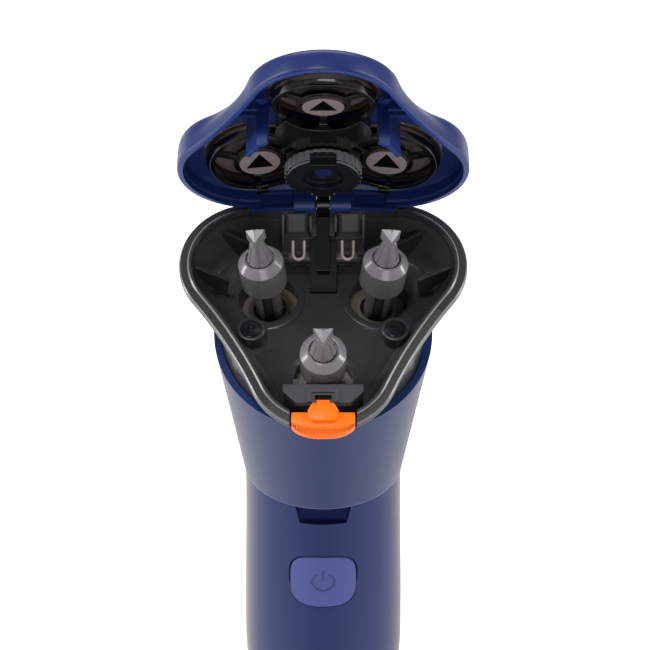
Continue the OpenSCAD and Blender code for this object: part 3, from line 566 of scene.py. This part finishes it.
def collar_cup():
    # The lowest strip has a ring of its own, because it carries the painted highlight line
    rings = [collar_ring(0, COLLAR_Z + 0.05)]
    for i in range(COLLAR_STEPS + 1):
        rings.append(collar_ring(0, mix(COLLAR_Z + HIGHLIGHT_STRIP, COLLAR_TOP, i / COLLAR_STEPS)))
    cup = cut(loft(rings), collar_solid(WALL, COLLAR_Z + 6.4, COLLAR_TOP + 1),
              spigot(-0.05, COLLAR_Z - 1, COLLAR_Z + SPIGOT_H + 2))
    # Its rim follows the head, and the bowl sits in it with a gap all round
    gap = 0.15
    return cut(cup, block((-BIG, -BIG, -COLLAR_DROP), (BIG, BIG, BIG), HEAD),
               lobed(BOWL, HEAD @ move(0, 0, -gap), -gap))


# ---- Hair chamber: [inset, height] profiles in the head's frame ----
BOWL = [(6.2, FLOOR - FLOOR_T), (4.8, FLOOR + 1), (2.9, -6), (1.9, -2.4), (0.5, -1.9), (0, -1.5), (0, -0.3),
        (0.3, 0)]
BOWL_INSIDE = [(7.6, FLOOR), (6.6, FLOOR + 0.5), (5.5, FLOOR + 2), (3.7, -4.4), (3, -1.4), (MOUTH_IN, 1)]
# Ribs on the wall: how far in and at what angle on the lobe each starts and ends
WALL_RIBS = [(3.36, 4.5, 10.3, -10.5), (3.27, 56.7, 7.45, 84.7)]


def shoulder(steps=5):
    """Closes the space between the bowl's waists and the collar."""
    rings = []
    for i in range(steps + 1):
        t = i / steps
        ring = []
        for x, y, _ in trefoil(SHOULDER_IN, 0):
            angle = atan2(y, x)
            reach = collar_reach(angle, SHOULDER_FOOT, WALL + 0.12)
            r = mix(hypot(x, y), reach, t ** 0.8)
            ring.append((r * cos(angle), r * sin(angle), mix(SHOULDER_TOP, SHOULDER_FOOT, t)))
        rings.append(ring)
    return loft(rings, HEAD)


def wedge_rib(outer, inner):
    """A rib in the bowl that runs from the point outer, at the wall, inwards to the point inner."""
    along = inner - outer
    run = along.length
    place = HEAD @ move(outer.x, outer.y, 0) @ turn(degrees(atan2(along.y, along.x)), "Z") @ turn(90, "X")
    side = [(0, -2.4), (run, -4.4), (run - 0.6, FLOOR + 0.3), (run - 1.5, FLOOR - 0.3), (0.5, -5.2)]
    return prism(side, -RIB_HALF, RIB_HALF, place)


def chamber_bowl():
    bowl = cut(join(lobed(rounded(BOWL, 0.3)), shoulder()), lobed(rounded(BOWL_INSIDE, 0.6)))
    lip = cut(lobed([(LIP_IN, -0.5), (LIP_IN, 0.35), (LIP_IN + 0.3, 0.62)]),
              lobed([(MOUTH_IN, -1), (MOUTH_IN, 1.6)]), block((-STEP_X, STEP_Y, -2), (STEP_X, BIG, 3), HEAD))
    ribs = []
    for s in (-1, 1):
        for outer_in, outer_angle, inner_in, inner_angle in WALL_RIBS:
            ribs.append(wedge_rib(on_lobe(s, LOBE_R - outer_in, outer_angle),
                                  on_lobe(s, LOBE_R - inner_in, inner_angle)))
    ribs = common(join(ribs[0], *ribs[1:]), lobed(BOWL, shift=0.3))
    bosses = [HEAD @ move(s * BOSS_X, BOSS_Y, 0) for s in (-1, 1)]
    adds = [rod(RECESS_R + WALL, -1.4, SEAL_DROP - 0.4, HEAD @ unit(side), soft=0.35) for side in SIDES]
    adds += [rod(BOSS_R, FLOOR - EPS, FLOOR + BOSS_H, place, soft=0.25) for place in bosses]
    bowl = join(bowl, lip, ribs, *adds)
    cuts = []
    for side in SIDES:
        cuts.append(rod(RECESS_R, 0, SEAL_DROP + 3, HEAD @ unit(side)))
        cuts.append(rod(CUP_HOLE_R, -3, 1, HEAD @ unit(side)))
    for place in bosses:
        cuts.append(rod(SCREW_R, FLOOR - 3, FLOOR + BOSS_H + 1, place))
        cuts.append(rod(SCREW_HEAD_R, FLOOR + BOSS_H - 1.2, FLOOR + BOSS_H + 1, place))
    # Room for the lid's skirt, for the hinge bracket and its foot, and for the release button
    for x, y0, y1, z0, z1 in (
            (STEP_X, STEP_Y, BIG, REAR_EDGE_Z, 3),
            (HINGE_ROOM_X, HINGE_Y - 7.7, BIG, FLOOR + 2.2, 3),
            (TRENCH_X, TRENCH_Y, HINGE_Y - 7, FLOOR - TRENCH_D, FLOOR + 2.5),
            (RELEASE_W / 2 + BUTTON_GAP, -BIG, 8.24 - FRONT_Y, -6.3, 3)):
        cuts.append(block((-x, y0, z0), (x, y1, z1), HEAD))
    return cut(bowl, *cuts)


# ---- Lid: profiles in its own frame, which is the head's frame when it is shut ----
# [inset, height, radius of the waists], from the rim to the back, where the waists grow deeper
LID_BACK = [(0.3, LID_GAP, WAIST_R), (0.12, LID_GAP + 0.05, WAIST_R), (0, LID_GAP + 0.2, WAIST_R),
            (-0.08, LID_GAP + 0.45, WAIST_R), (-0.1, 1.2, 109), (-0.1, 2.2, 104), (-0.08, 2.8, 92),
            (-0.06, 3.3, 76), (-0.03, 3.75, 61), (0, 4.2, 49), (0.06, 4.65, 40), (0.15, 5.1, 34),
            (0.28, 5.5, 30), (0.46, 5.85, 27), (0.72, 6.2, 25), (1.1, 6.5, 23), (1.6, 6.75, 21.5),
            (2.4, 6.95, 20.5), (3.4, 7.1, 19.5), (4.8, 7.2, 19)]
LID_INSIDE = [(LID_WALL - 0.1, LID_GAP - 1), (LID_WALL, 1.3), (LID_WALL + 0.35, 1.5),
              (LID_WALL + 0.3, LID_H - 1.5), (LID_WALL + 1, LID_H - 0.65), (4.6, LID_H + 0.05)]
# Section of the L-shaped post beside the frame, on the right
POST = [(POST_X - 1.8, -10.7), (POST_X - 1.5, -11.4), (POST_X + 0.7, -10.2), (POST_X + 2.9, -5.8),
        (POST_X + 2.1, -5.3), (POST_X, -9.5)]


def lid_ring(inset, z, waist_r):
    """A ring of the lid's outside, which rises towards the hinge above z = 2."""
    return [(x, y, z + 0.05 * (y + 14) * ease((z - 2) / 5)) for x, y, _ in trefoil(inset, z, waist_r)]


def lid_cover():
    shell = cut(loft([lid_ring(*p) for p in LID_BACK], LID), lobed(rounded(LID_INSIDE, 0.12), LID))
    inner = LID_H + 0.4
    adds = []
    for s in (-1, 1):
        # Lug, post with its two webs, and nub. A lug's round part is shorter than its block, and starts
        # at the lower x on both sides
        lo, hi = mirrored(s, LUG_IN, LUG_OUT)
        adds.append(rod(PIN_R + 1.1, 0, LUG_ROUND, on_pin(lo)))
        adds.append(block((lo, HINGE_Y - 1.9, HINGE_UP), (hi, HINGE_Y + 0.7, LID_H - 0.4), LID))
        adds.append(prism([(s * x, y) for x, y in POST], POST_FOOT, inner, LID))
        for y in (-9.9, -12.4):
            lo, hi = mirrored(s, POST_X + 0.3, waist_x(y, 2.2))
            adds.append(block((lo, y, LID_H - 2), (hi, y + 0.8, inner), LID))
        adds.append(rod(0.8, LID_H - 1.7, LID_H + 0.3, LID @ move(s * (POST_X - 0.1), -15, 0), n=40))
    adds.append(rod(STUB_R, 0.6, LID_H + 0.6, LID @ move(0, KNOB_Y, 0)))
    skirt = cut(lobed([(0.15, -0.6), (-0.05, -0.2), (-0.05, 1)], LID),
                lobed([(SKIRT_IN, -1.6), (SKIRT_IN, 2)], LID))
    skirt = common(skirt, block((0.3 - STEP_X, SKIRT_Y, -2), (STEP_X - 0.3, BIG, 0.8), LID))
    shell = join(shell, *adds, skirt)
    cuts = []
    for side in SIDES:
        cuts.append(rod(GUARD_R - 0.2, HUB_END - 0.1, 40, LID @ unit(side)))
        cuts.append(rod(GUARD_R + 0.35, HUB_END - 0.1, 21, LID @ unit(side)))
    # Pin hole, slot for the tongue, notch for the release button's nub, and two recesses at the hinge
    cuts.append(rod(PIN_R + 0.07, 0, 2 * PIN_HALF, on_pin(-PIN_HALF)))
    cuts.append(block((-LUG_IN, HINGE_Y - 2.4, -2), (LUG_IN, HINGE_Y + 5, HINGE_UP + PIN_R + 1.4), LID))
    cuts.append(block((-3.6, 1.34 - FRONT_Y, -1), (3.6, 7.2 - FRONT_Y, 1.7), LID))
    for s in (-1, 1):
        lo, hi = mirrored(s, LUG_OUT + 0.2, 13.2)
        cuts.append(block((lo, HINGE_Y - 3, 0), (hi, HINGE_Y - 0.25, 3.1), LID))
    return cut(shell, *cuts)


# ---- Release button, in a frame at the front edge of the rim ----
def bulge(x):
    """1 in the middle of the button's front and 0 at its sides, for x from -1 to 1."""
    return (1 - abs(x) ** 2.6) ** 0.75


def release_ring(front, inset, z, steps=40):
    """Straight back and sides; the front bulges by as much as front."""
    w = RELEASE_W / 2 - inset
    ring = [(w, 4.3 - inset, z), (-w, 4.3 - inset, z)]
    for i in range(steps + 1):
        x = -1 + 2 * i / steps
        ring.append((w * x, 2 - (2 + front) * bulge(x), z))
    return ring


def grip_rib(x):
    """A slanted rib on the button's front; its section narrows outwards."""
    depth = bulge(x / (RELEASE_W / 2))
    low = Vector((x - 0.34, 2 - 2.62 * depth, -0.85))
    high = Vector((x + 0.34, 2 - 1.45 * depth, -0.12))
    side = Vector((1, 0, 0))
    out = side.cross((high - low).normalized()).normalized()
    section = [(-0.17, -0.3), (0.17, -0.3), (0.11, 0.27), (-0.11, 0.27)]
    return loft([[p + side * a + out * b for a, b in section] for p in (low, high)], RELEASE)


def release_key():
    # [bulge, inset, height]
    body = [(0.45, 0.15, -2.6), (0.6, 0, -2.35), (0.7, 0, -1.5), (0.7, 0, -1.0), (0.62, 0, -0.82),
            (0.45, 0, -0.66), (-0.55, 0.02, -0.12), (-0.85, 0.06, 0.05), (-1.1, 0.14, 0.15),
            (-1.35, 0.3, 0.2)]
    nub = [(-2.4, 5.6), (2.4, 5.6), (3.1, 4.2), (3.1, 3), (2.2, 1.8), (-2.2, 1.8), (-3.1, 3), (-3.1, 4.2)]
    middle = 3.7
    nub_rings = [[(x * k, middle + (y - middle) * k, z) for x, y in nub]
                 for k, z in ((1, 0.19), (1, 0.95), (0.97, 1.1), (0.9, 1.19))]
    key = join(loft([release_ring(*p) for p in body], RELEASE), loft(nub_rings, RELEASE),
               block((-2.2, 4.25, -1.6), (2.2, 6.4, 0.2), RELEASE),
               block((-1.3, 6.2, -2.1), (1.3, 7.6, -0.6), RELEASE))
    return join(key, *[grip_rib(i * 0.66) for i in range(-8, 9)])


# ---- Materials ----
M = {}
TONE_CHANGE = 0.05


def material(name, color, rough=0.45, metal=0.0, bump=0.0, scale=900.0, rough_vary=0.05, bevel=0.15,
             sheen=0.0, sheen_rough=0.4, sheen_tint=(1, 1, 1), coat=0.0, spec=0.5, stretch=(1, 1, 1)):
    """bevel is in millimetres; stretch draws the grain out into lines."""
    m = bpy.data.materials.new(name)
    m.use_nodes = True
    node = m.node_tree.nodes.new
    link = m.node_tree.links.new
    shader = m.node_tree.nodes["Principled BSDF"]
    for key, value in (("Metallic", metal), ("Specular IOR Level", spec), ("Sheen Weight", sheen),
                       ("Sheen Roughness", sheen_rough), ("Sheen Tint", (*sheen_tint, 1)),
                       ("Coat Weight", coat), ("Coat Roughness", 0.1), ("Roughness", rough)):
        shader.inputs[key].default_value = value
    place = node("ShaderNodeTexCoord").outputs["Object"]
    # Slow change of tone over the piece
    slow = node("ShaderNodeTexNoise")
    slow.inputs["Scale"].default_value = 45.0
    slow.inputs["Detail"].default_value = 2.0
    link(place, slow.inputs["Vector"])
    tone = node("ShaderNodeMix")
    tone.data_type = "RGBA"
    tone.inputs[6].default_value = (*[c * (1 - TONE_CHANGE) for c in color], 1)
    tone.inputs[7].default_value = (*[min(1.0, c * (1 + TONE_CHANGE)) for c in color], 1)
    link(slow.outputs["Fac"], tone.inputs[0])
    link(tone.outputs[2], shader.inputs["Base Color"])
    # Fine grain of the moulded or ground surface
    grain = node("ShaderNodeTexNoise")
    grain.inputs["Scale"].default_value = scale
    grain.inputs["Detail"].default_value = 4.0
    if stretch != (1, 1, 1):
        mapping = node("ShaderNodeMapping")
        mapping.inputs["Scale"].default_value = stretch
        link(place, mapping.inputs["Vector"])
        place = mapping.outputs["Vector"]
    link(place, grain.inputs["Vector"])
    spread = node("ShaderNodeMapRange")
    spread.inputs["To Min"].default_value = max(0.02, rough - rough_vary)
    spread.inputs["To Max"].default_value = min(1.0, rough + rough_vary)
    link(grain.outputs["Fac"], spread.inputs["Value"])
    link(spread.outputs["Result"], shader.inputs["Roughness"])
    # Softened edges, and the grain's relief on top of them
    edges = node("ShaderNodeBevel")
    edges.samples = 6
    edges.inputs["Radius"].default_value = bevel * MM
    normal = edges.outputs["Normal"]
    if bump:
        relief = node("ShaderNodeBump")
        relief.inputs["Strength"].default_value = bump
        relief.inputs["Distance"].default_value = 0.05 * MM
        link(grain.outputs["Fac"], relief.inputs["Height"])
        link(normal, relief.inputs["Normal"])
        normal = relief.outputs["Normal"]
    link(normal, shader.inputs["Normal"])
    M[name] = m


# Surfaces that several materials share
BLUE = {"bump": 0.05, "scale": 2600}
GREY = {"bump": 0.03, "scale": 2200, "rough_vary": 0.02}
BRACKET = {"bump": 0.05, "scale": 2200}
GLOSSY = {"rough_vary": 0.02, "bevel": 0.2, "spec": 0.8}
ORANGE = {"bump": 0.05, "scale": 1800}

material("handle_blue", (0.0065, 0.02, 0.106), 0.38, **BLUE, spec=0.17, sheen=0.5, sheen_rough=0.38,
         sheen_tint=(1, 0.88, 0.58))
material("collar_blue", (0.009, 0.026, 0.11), 0.38, **BLUE, spec=0.18, sheen=0.25, sheen_tint=(1, 0.87, 0.55))
# Painted highlight: a light lavender for the thin line along the collar's foot
material("highlight_lavender", (0.09, 0.1, 0.22), 0.3, bump=0.03)
# Painted shade: a darker navy for the pocket under the collar
material("pocket_shade_navy", (0.004, 0.009, 0.055), 0.4, **BLUE, spec=0.06)
material("lid_blue", (0.01, 0.02, 0.105), 0.34, **BLUE, spec=0.24, sheen=0.04, sheen_tint=(1, 0.88, 0.65))
material("lid_inner", (0.009, 0.022, 0.105), 0.3, **BLUE, spec=0.2)
material("lid_edge", (0.014, 0.036, 0.19), 0.3, **BLUE, spec=0.4)
material("chamber_grey", (0.024, 0.024, 0.0255), 0.3, **GREY)
# Painted highlight: a light grey for the rounded edges of the chamber's rim
material("edge_highlight_grey", (0.15, 0.148, 0.147), 0.25, **GREY)
# Painted light: a lighter grey for the chamber's inner walls than for its floor
material("wall_lit_grey", (0.042, 0.0415, 0.044), 0.32, **GREY)
# Painted light: a lighter grey for the flat top of the chamber's rim
material("rim_lit_grey", (0.042, 0.0415, 0.042), 0.3, **GREY)
# Painted light: a much lighter grey for the shoulder, for the light on its upward faces
material("shoulder_lit_grey", (0.1, 0.098, 0.1), 0.2, bump=0.03, rough_vary=0.02)
material("hinge_grey", (0.055, 0.053, 0.057), 0.35, bump=0.04, scale=2200)
material("bracket_grey", (0.05, 0.05, 0.055), 0.38, **BRACKET)
material("ramp_black", (0.003, 0.003, 0.0035), 0.4, **BRACKET, spec=0.2)
material("inner_grey", (0.05, 0.05, 0.055), 0.55, bump=0.1)
material("frame_black", (0.0015, 0.0015, 0.0018), 0.12, **GLOSSY)
material("black_plastic", (0.003, 0.003, 0.0035), 0.18, bump=0.04, scale=1500, spec=0.35)
# Painted highlight: a light grey for the side faces of the knob's knurled rim
material("knob_rim_highlight", (0.2, 0.2, 0.21), 0.22, scale=400, **GLOSSY)
material("knob_grey", (0.007, 0.0072, 0.009), 0.24, scale=400, rough_vary=0.02, bevel=0.22)
material("screw_black", (0.006, 0.006, 0.007), 0.15, bump=0.04, spec=0.8)
material("plain_steel", (0.72, 0.68, 0.66), 0.28, metal=1.0, bump=0.05)
material("battery_green", (0.05, 0.25, 0.15), 0.35)
material("board_green", (0.02, 0.16, 0.06), 0.4, bump=0.1, scale=700)
material("seal_brown", (0.11, 0.096, 0.078), 0.5, bump=0.1, scale=1500)
material("spring_beige", (0.62, 0.53, 0.5), 0.42, metal=0.3, bump=0.05)
material("release_orange", (1.0, 0.165, 0.003), 0.4, **ORANGE, spec=0.25)
# Painted shade: a darker orange for the side faces of the grip ribs
material("release_rib_shade", (0.42, 0.045, 0.001), 0.4, **ORANGE, spec=0.3)
# Painted shade: a darker blue for the faces of the embossed power symbol
material("power_symbol_shade", (0.034, 0.044, 0.185), 0.42, **BLUE, spec=0.35)
material("power_violet", (0.055, 0.071, 0.255), 0.42, bump=0.1, scale=2600, spec=0.35)
material("gear_white", (0.75, 0.74, 0.7), 0.4, bump=0.05)
material("shaft_dark", (0.03, 0.03, 0.034), 0.35, bump=0.05)
material("spindle_grey", (0.125, 0.12, 0.125), 0.3, scale=1200, rough_vary=0.02)
# Painted light: a lighter grey for the top of each spindle cap
material("spindle_lit_top", (0.165, 0.158, 0.166), 0.24, bump=0.03, scale=1200, coat=0.15)
material("guard_steel", (0.85, 0.7, 0.52), 0.18, metal=0.85, bump=0.08, stretch=(1, 1, 12))
# Painted shade: a near black metal for the guards' inward and downward faces
material("guard_inner_shade", (0.05, 0.036, 0.026), 0.25, metal=0.5, bump=0.05, stretch=(1, 1, 12))
material("cutter_metal", (0.26, 0.21, 0.21), 0.35, metal=0.2, bump=0.12, stretch=(1, 1, 10))
# Painted shade: a darker metal for the cutter past the end of its hub
material("cutter_shade_dark", (0.14, 0.115, 0.11), 0.25, metal=0.3, bump=0.08, stretch=(1, 1, 10))
# Painted shade: black for the inside of the cutter hub's socket
material("socket_shade_black", (0.006, 0.005, 0.005), 0.35, bump=0.05)

# ---- CAD nodes: the material of the record's slot, or the one given here ----
nodes = frame["nodes"]
slot_of = {s["node"]: s["material_slot"] for s in frame["record"]["subparts"]}
slot_of["hinge_bracket"] = "hinge_grey"
slot_of["release_bracket"] = "bracket_grey"
slot_of["hinge_springs"] = "spring_beige"
slot_of["hinge_pin"] = "shaft_dark"
slot_of["retaining_frame"] = "frame_black"
for name, o in nodes.items():
    o.data.materials.clear()
    o.data.materials.append(M[slot_of[name]])
    smooth(o.data)
# The ramp in the middle of the hinge is darker than its catch blocks
shade(nodes["hinge_bracket"], "ramp_black", HEAD, lambda at, n: abs(at.x) < 2.83 and at.y < HINGE_Y - 4.5)
# Painted highlight: the side faces of the knob's rim get a light grey, while the rest of the knob stays dark
shade(nodes["lock_knob"], "knob_rim_highlight", LID @ move(0, KNOB_Y, 0),
      lambda at, n: abs(n.z) < 0.8 and at.xy.length > KNOB_R - 1)
for side in SIDES:
    # Only the end of the cutter's hub keeps the bright metal; the rest of the cutter, its socket and the
    # guard's inside get darker colours as painted shade
    seat = LID @ unit(side)
    cutter = nodes["cutter_" + side]
    shade(cutter, "cutter_shade_dark", seat, lambda at, n: at.z > HUB_END + 0.05)
    # Painted shade: the inside of the hub's socket gets black
    shade(cutter, "socket_shade_black", seat,
          lambda at, n: HUB_END + 0.05 < at.z < GUARD_TOP - 0.2 and at.xy.length < 3.4 and n.z < 0.5)
    # Painted shade: the guard's faces that turn inwards or down get a near black metal
    shade(nodes["guard_" + side], "guard_inner_shade", seat, lambda at, n: n.z < -0.3 or outward(at, n) < 0)
    # Painted light: the cap above its edge gets a lighter grey than its body
    shade(nodes["cap_" + side], "spindle_lit_top", HEAD @ unit(side), lambda at, n: at.z > CAP_EDGE)

# ---- Pieces that stand for coarser CAD nodes ----
lid = finish("lid_cover", lid_cover(), "lid_shell", "lid", "lid_blue")
shade(lid, "lid_inner", LID, lambda at, n: at.z < LID_H + 0.1 and (inset_of(at) > 3 or outward(at, n) < 0))
shade(lid, "lid_edge", LID, lambda at, n: at.z < LID_GAP + 0.1 and n.z < -0.7)

bowl = finish("chamber_bowl", chamber_bowl(), "hair_chamber", "handle", "chamber_grey")
# Painted light: the bowl's inner walls get a lighter grey than its floor
shade(bowl, "wall_lit_grey", HEAD, lambda at, n: FLOOR < at.z < -0.8 and 0.02 < n.z < 0.85 and inset_of(at) > 2.3)
# Painted light: the shoulder's upward faces get a light grey
shade(bowl, "shoulder_lit_grey", HEAD, lambda at, n: -9 < at.z < -1.6 and n.z > 0.1 and inset_of(at) < 1.6)
# Painted light: the flat top of the rim gets a lighter grey than the floor
shade(bowl, "rim_lit_grey", HEAD, lambda at, n: -0.4 < at.z < 0.7 and n.z > 0.9 and inset_of(at) < 2.8)
# Painted highlight: the rounded edges of the rim get a light grey
shade(bowl, "edge_highlight_grey", HEAD, lambda at, n: -0.4 < at.z < 0.7 and 0.25 < n.z < 0.97 and inset_of(at) < 2.1)

collar = finish("collar_cup", collar_cup(), "collar", "handle", "handle_blue")
collar.data.materials[0] = M["collar_blue"]
# Painted highlight: the lowest strip of the collar's outside gets a light lavender line
shade(collar, "highlight_lavender", IDENT, lambda at, n: at.z < COLLAR_Z + HIGHLIGHT_STRIP - EPS and outward(at, n) > 0)


def in_pocket(at, n):
    """True below the collar's foot, where a face lies deeper than the handle's surface."""
    near = COLLAR_Z - POCKET_H - 0.2 < at.z < COLLAR_Z + 0.5 and abs(at.x) < POCKET_W / 2 + 0.2 and at.y < 0
    return near and (at.x / half_w(at.z)) ** 2 + (at.y / front_d(at.z)) ** 2 < 0.985


front = finish("front_cover", front_cover(), "front_shell", "handle", "handle_blue")
# Painted shade: the faces of the pocket under the collar get a darker navy than the handle
shade(front, "pocket_shade_navy", IDENT, in_pocket)
finish("rear_cover", rear_cover(), "rear_shell", "handle", "handle_blue")
finish("base_plate", base_plate(), "base_cap", "handle", "black_plastic")


def on_symbol(at, n):
    """True near the middle of the power button, where a face stands above the button's surface."""
    w = half_w(POWER_Z) + 0.3
    d = front_d(POWER_Z) + 0.3
    return at.xz.length < 3.4 and at.y < -10 and (at.x / w) ** 2 + (at.y / d) ** 2 > 1


power = finish("power_key", power_key(), "power_button", "power_button", "power_violet")
# Painted shade: the embossed power symbol gets a darker blue than the button, so that it shows
shade(power, "power_symbol_shade", move(0, 0, POWER_Z), on_symbol)
release = finish("release_key", release_key(), "release_button", "release_button", "release_orange")
# Painted shade: the side faces of the grip ribs get a darker orange
shade(release, "release_rib_shade", RELEASE,
      lambda at, n: -0.9 < at.z < -0.05 and abs(n.x) > 0.45 and abs(at.x) < 6)


# ---- Floor and world: white where the camera sees them, dimmer as light on the shaver ----
def split_by_ray(tree, plain, seen):
    """Gives the output seen to the camera's rays and the output plain to all others."""
    path = tree.nodes.new("ShaderNodeLightPath")
    choice = tree.nodes.new("ShaderNodeMixShader")
    tree.links.new(path.outputs["Is Camera Ray"], choice.inputs[0])
    tree.links.new(plain, choice.inputs[1])
    tree.links.new(seen, choice.inputs[2])
    return choice.outputs[0]


def stage_floor(size=3.0, glow=0.42):
    mesh = bpy.data.meshes.new("floor")
    mesh.from_pydata([(-size, -size, 0), (size, -size, 0), (size, size, 0), (-size, size, 0)], [],
                     [(0, 1, 2, 3)])
    o = bpy.data.objects.new("floor", mesh)
    bpy.context.scene.collection.objects.link(o)
    # Just below the shaver's foot
    o.location.z = -0.0002
    m = bpy.data.materials.new("floor")
    m.use_nodes = True
    tree = m.node_tree
    shader = tree.nodes["Principled BSDF"]
    shader.inputs["Base Color"].default_value = (0.8, 0.8, 0.8, 1)
    shader.inputs["Roughness"].default_value = 0.9
    light = tree.nodes.new("ShaderNodeEmission")
    light.inputs["Strength"].default_value = glow
    both = tree.nodes.new("ShaderNodeAddShader")
    tree.links.new(shader.outputs[0], both.inputs[0])
    tree.links.new(light.outputs[0], both.inputs[1])
    surface = tree.nodes["Material Output"].inputs["Surface"]
    tree.links.new(split_by_ray(tree, shader.outputs[0], both.outputs[0]), surface)
    mesh.materials.append(m)


def white_world(plain=0.3, seen=1.0):
    world = bpy.data.worlds.new("studio")
    bpy.context.scene.world = world
    world.use_nodes = True
    tree = world.node_tree
    backgrounds = [tree.nodes["Background"], tree.nodes.new("ShaderNodeBackground")]
    for background, strength in zip(backgrounds, (plain, seen)):
        background.inputs["Color"].default_value = (1, 1, 1, 1)
        background.inputs["Strength"].default_value = strength
    surface = tree.nodes["World Output"].inputs["Surface"]
    tree.links.new(split_by_ray(tree, *[b.outputs[0] for b in backgrounds]), surface)


stage_floor()
white_world()


# ---- Light: places in metres, power in watts, aimed at the head ----
def area(name, place, power, width, height=None):
    light = bpy.data.lights.new(name, "AREA")
    light.energy = power
    light.size = width
    if height:
        light.shape = "RECTANGLE"
        light.size_y = height
    o = bpy.data.objects.new(name, light)
    bpy.context.scene.collection.objects.link(o)
    o.location = place
    o.rotation_euler = (Vector((0, 0, 0.13)) - Vector(place)).to_track_quat("-Z", "Y").to_euler()


area("key", (-0.15, -0.3, 1.1), 4.5, 0.22)
area("left", (-0.8, 0.05, 0.42), 7, 0.16, 0.9)
area("right", (0.8, 0.05, 0.42), 5.8, 0.16, 0.9)
area("back", (0.0, 0.8, 0.75), 5, 0.9, 0.25)
area("fill", (0.1, -0.9, 0.35), 2.5, 0.5)

# ---- Camera: looks down on the head's rim, in the head's frame; lens and sensor in millimetres ----
ELEVATION = radians(56)
DISTANCE = 600.0
AIM_DOWN = radians(0.551283)
AIM_RIGHT = radians(0.035441)
SENSOR = 36.0
LENS = 161.16923

forward = Vector((0, cos(ELEVATION), -sin(ELEVATION)))
above = Vector((0, sin(ELEVATION), cos(ELEVATION)))
right = Vector((1, 0, 0))
# The view is aimed a little below the head's middle and to its right
view = cos(AIM_DOWN) * forward - sin(AIM_DOWN) * above
up = cos(AIM_DOWN) * above + sin(AIM_DOWN) * forward
across = cos(AIM_RIGHT) * right - sin(AIM_RIGHT) * view
back = -(cos(AIM_RIGHT) * view + sin(AIM_RIGHT) * right)
head_turn = HEAD.to_3x3()
axes = Matrix((head_turn @ across, head_turn @ up, head_turn @ back)).transposed()
camera = bpy.data.objects.new("camera", bpy.data.cameras.new("camera"))
bpy.context.scene.collection.objects.link(camera)
camera.matrix_world = Matrix.Translation((HEAD @ (-DISTANCE * forward)) * MM) @ axes.to_4x4()
camera.data.sensor_width = SENSOR
camera.data.lens = LENS
camera.data.clip_start = 0.01
bpy.context.scene.camera = camera
bpy.context.scene.view_settings.view_transform = "Standard"

bpy.context.view_layer.update()
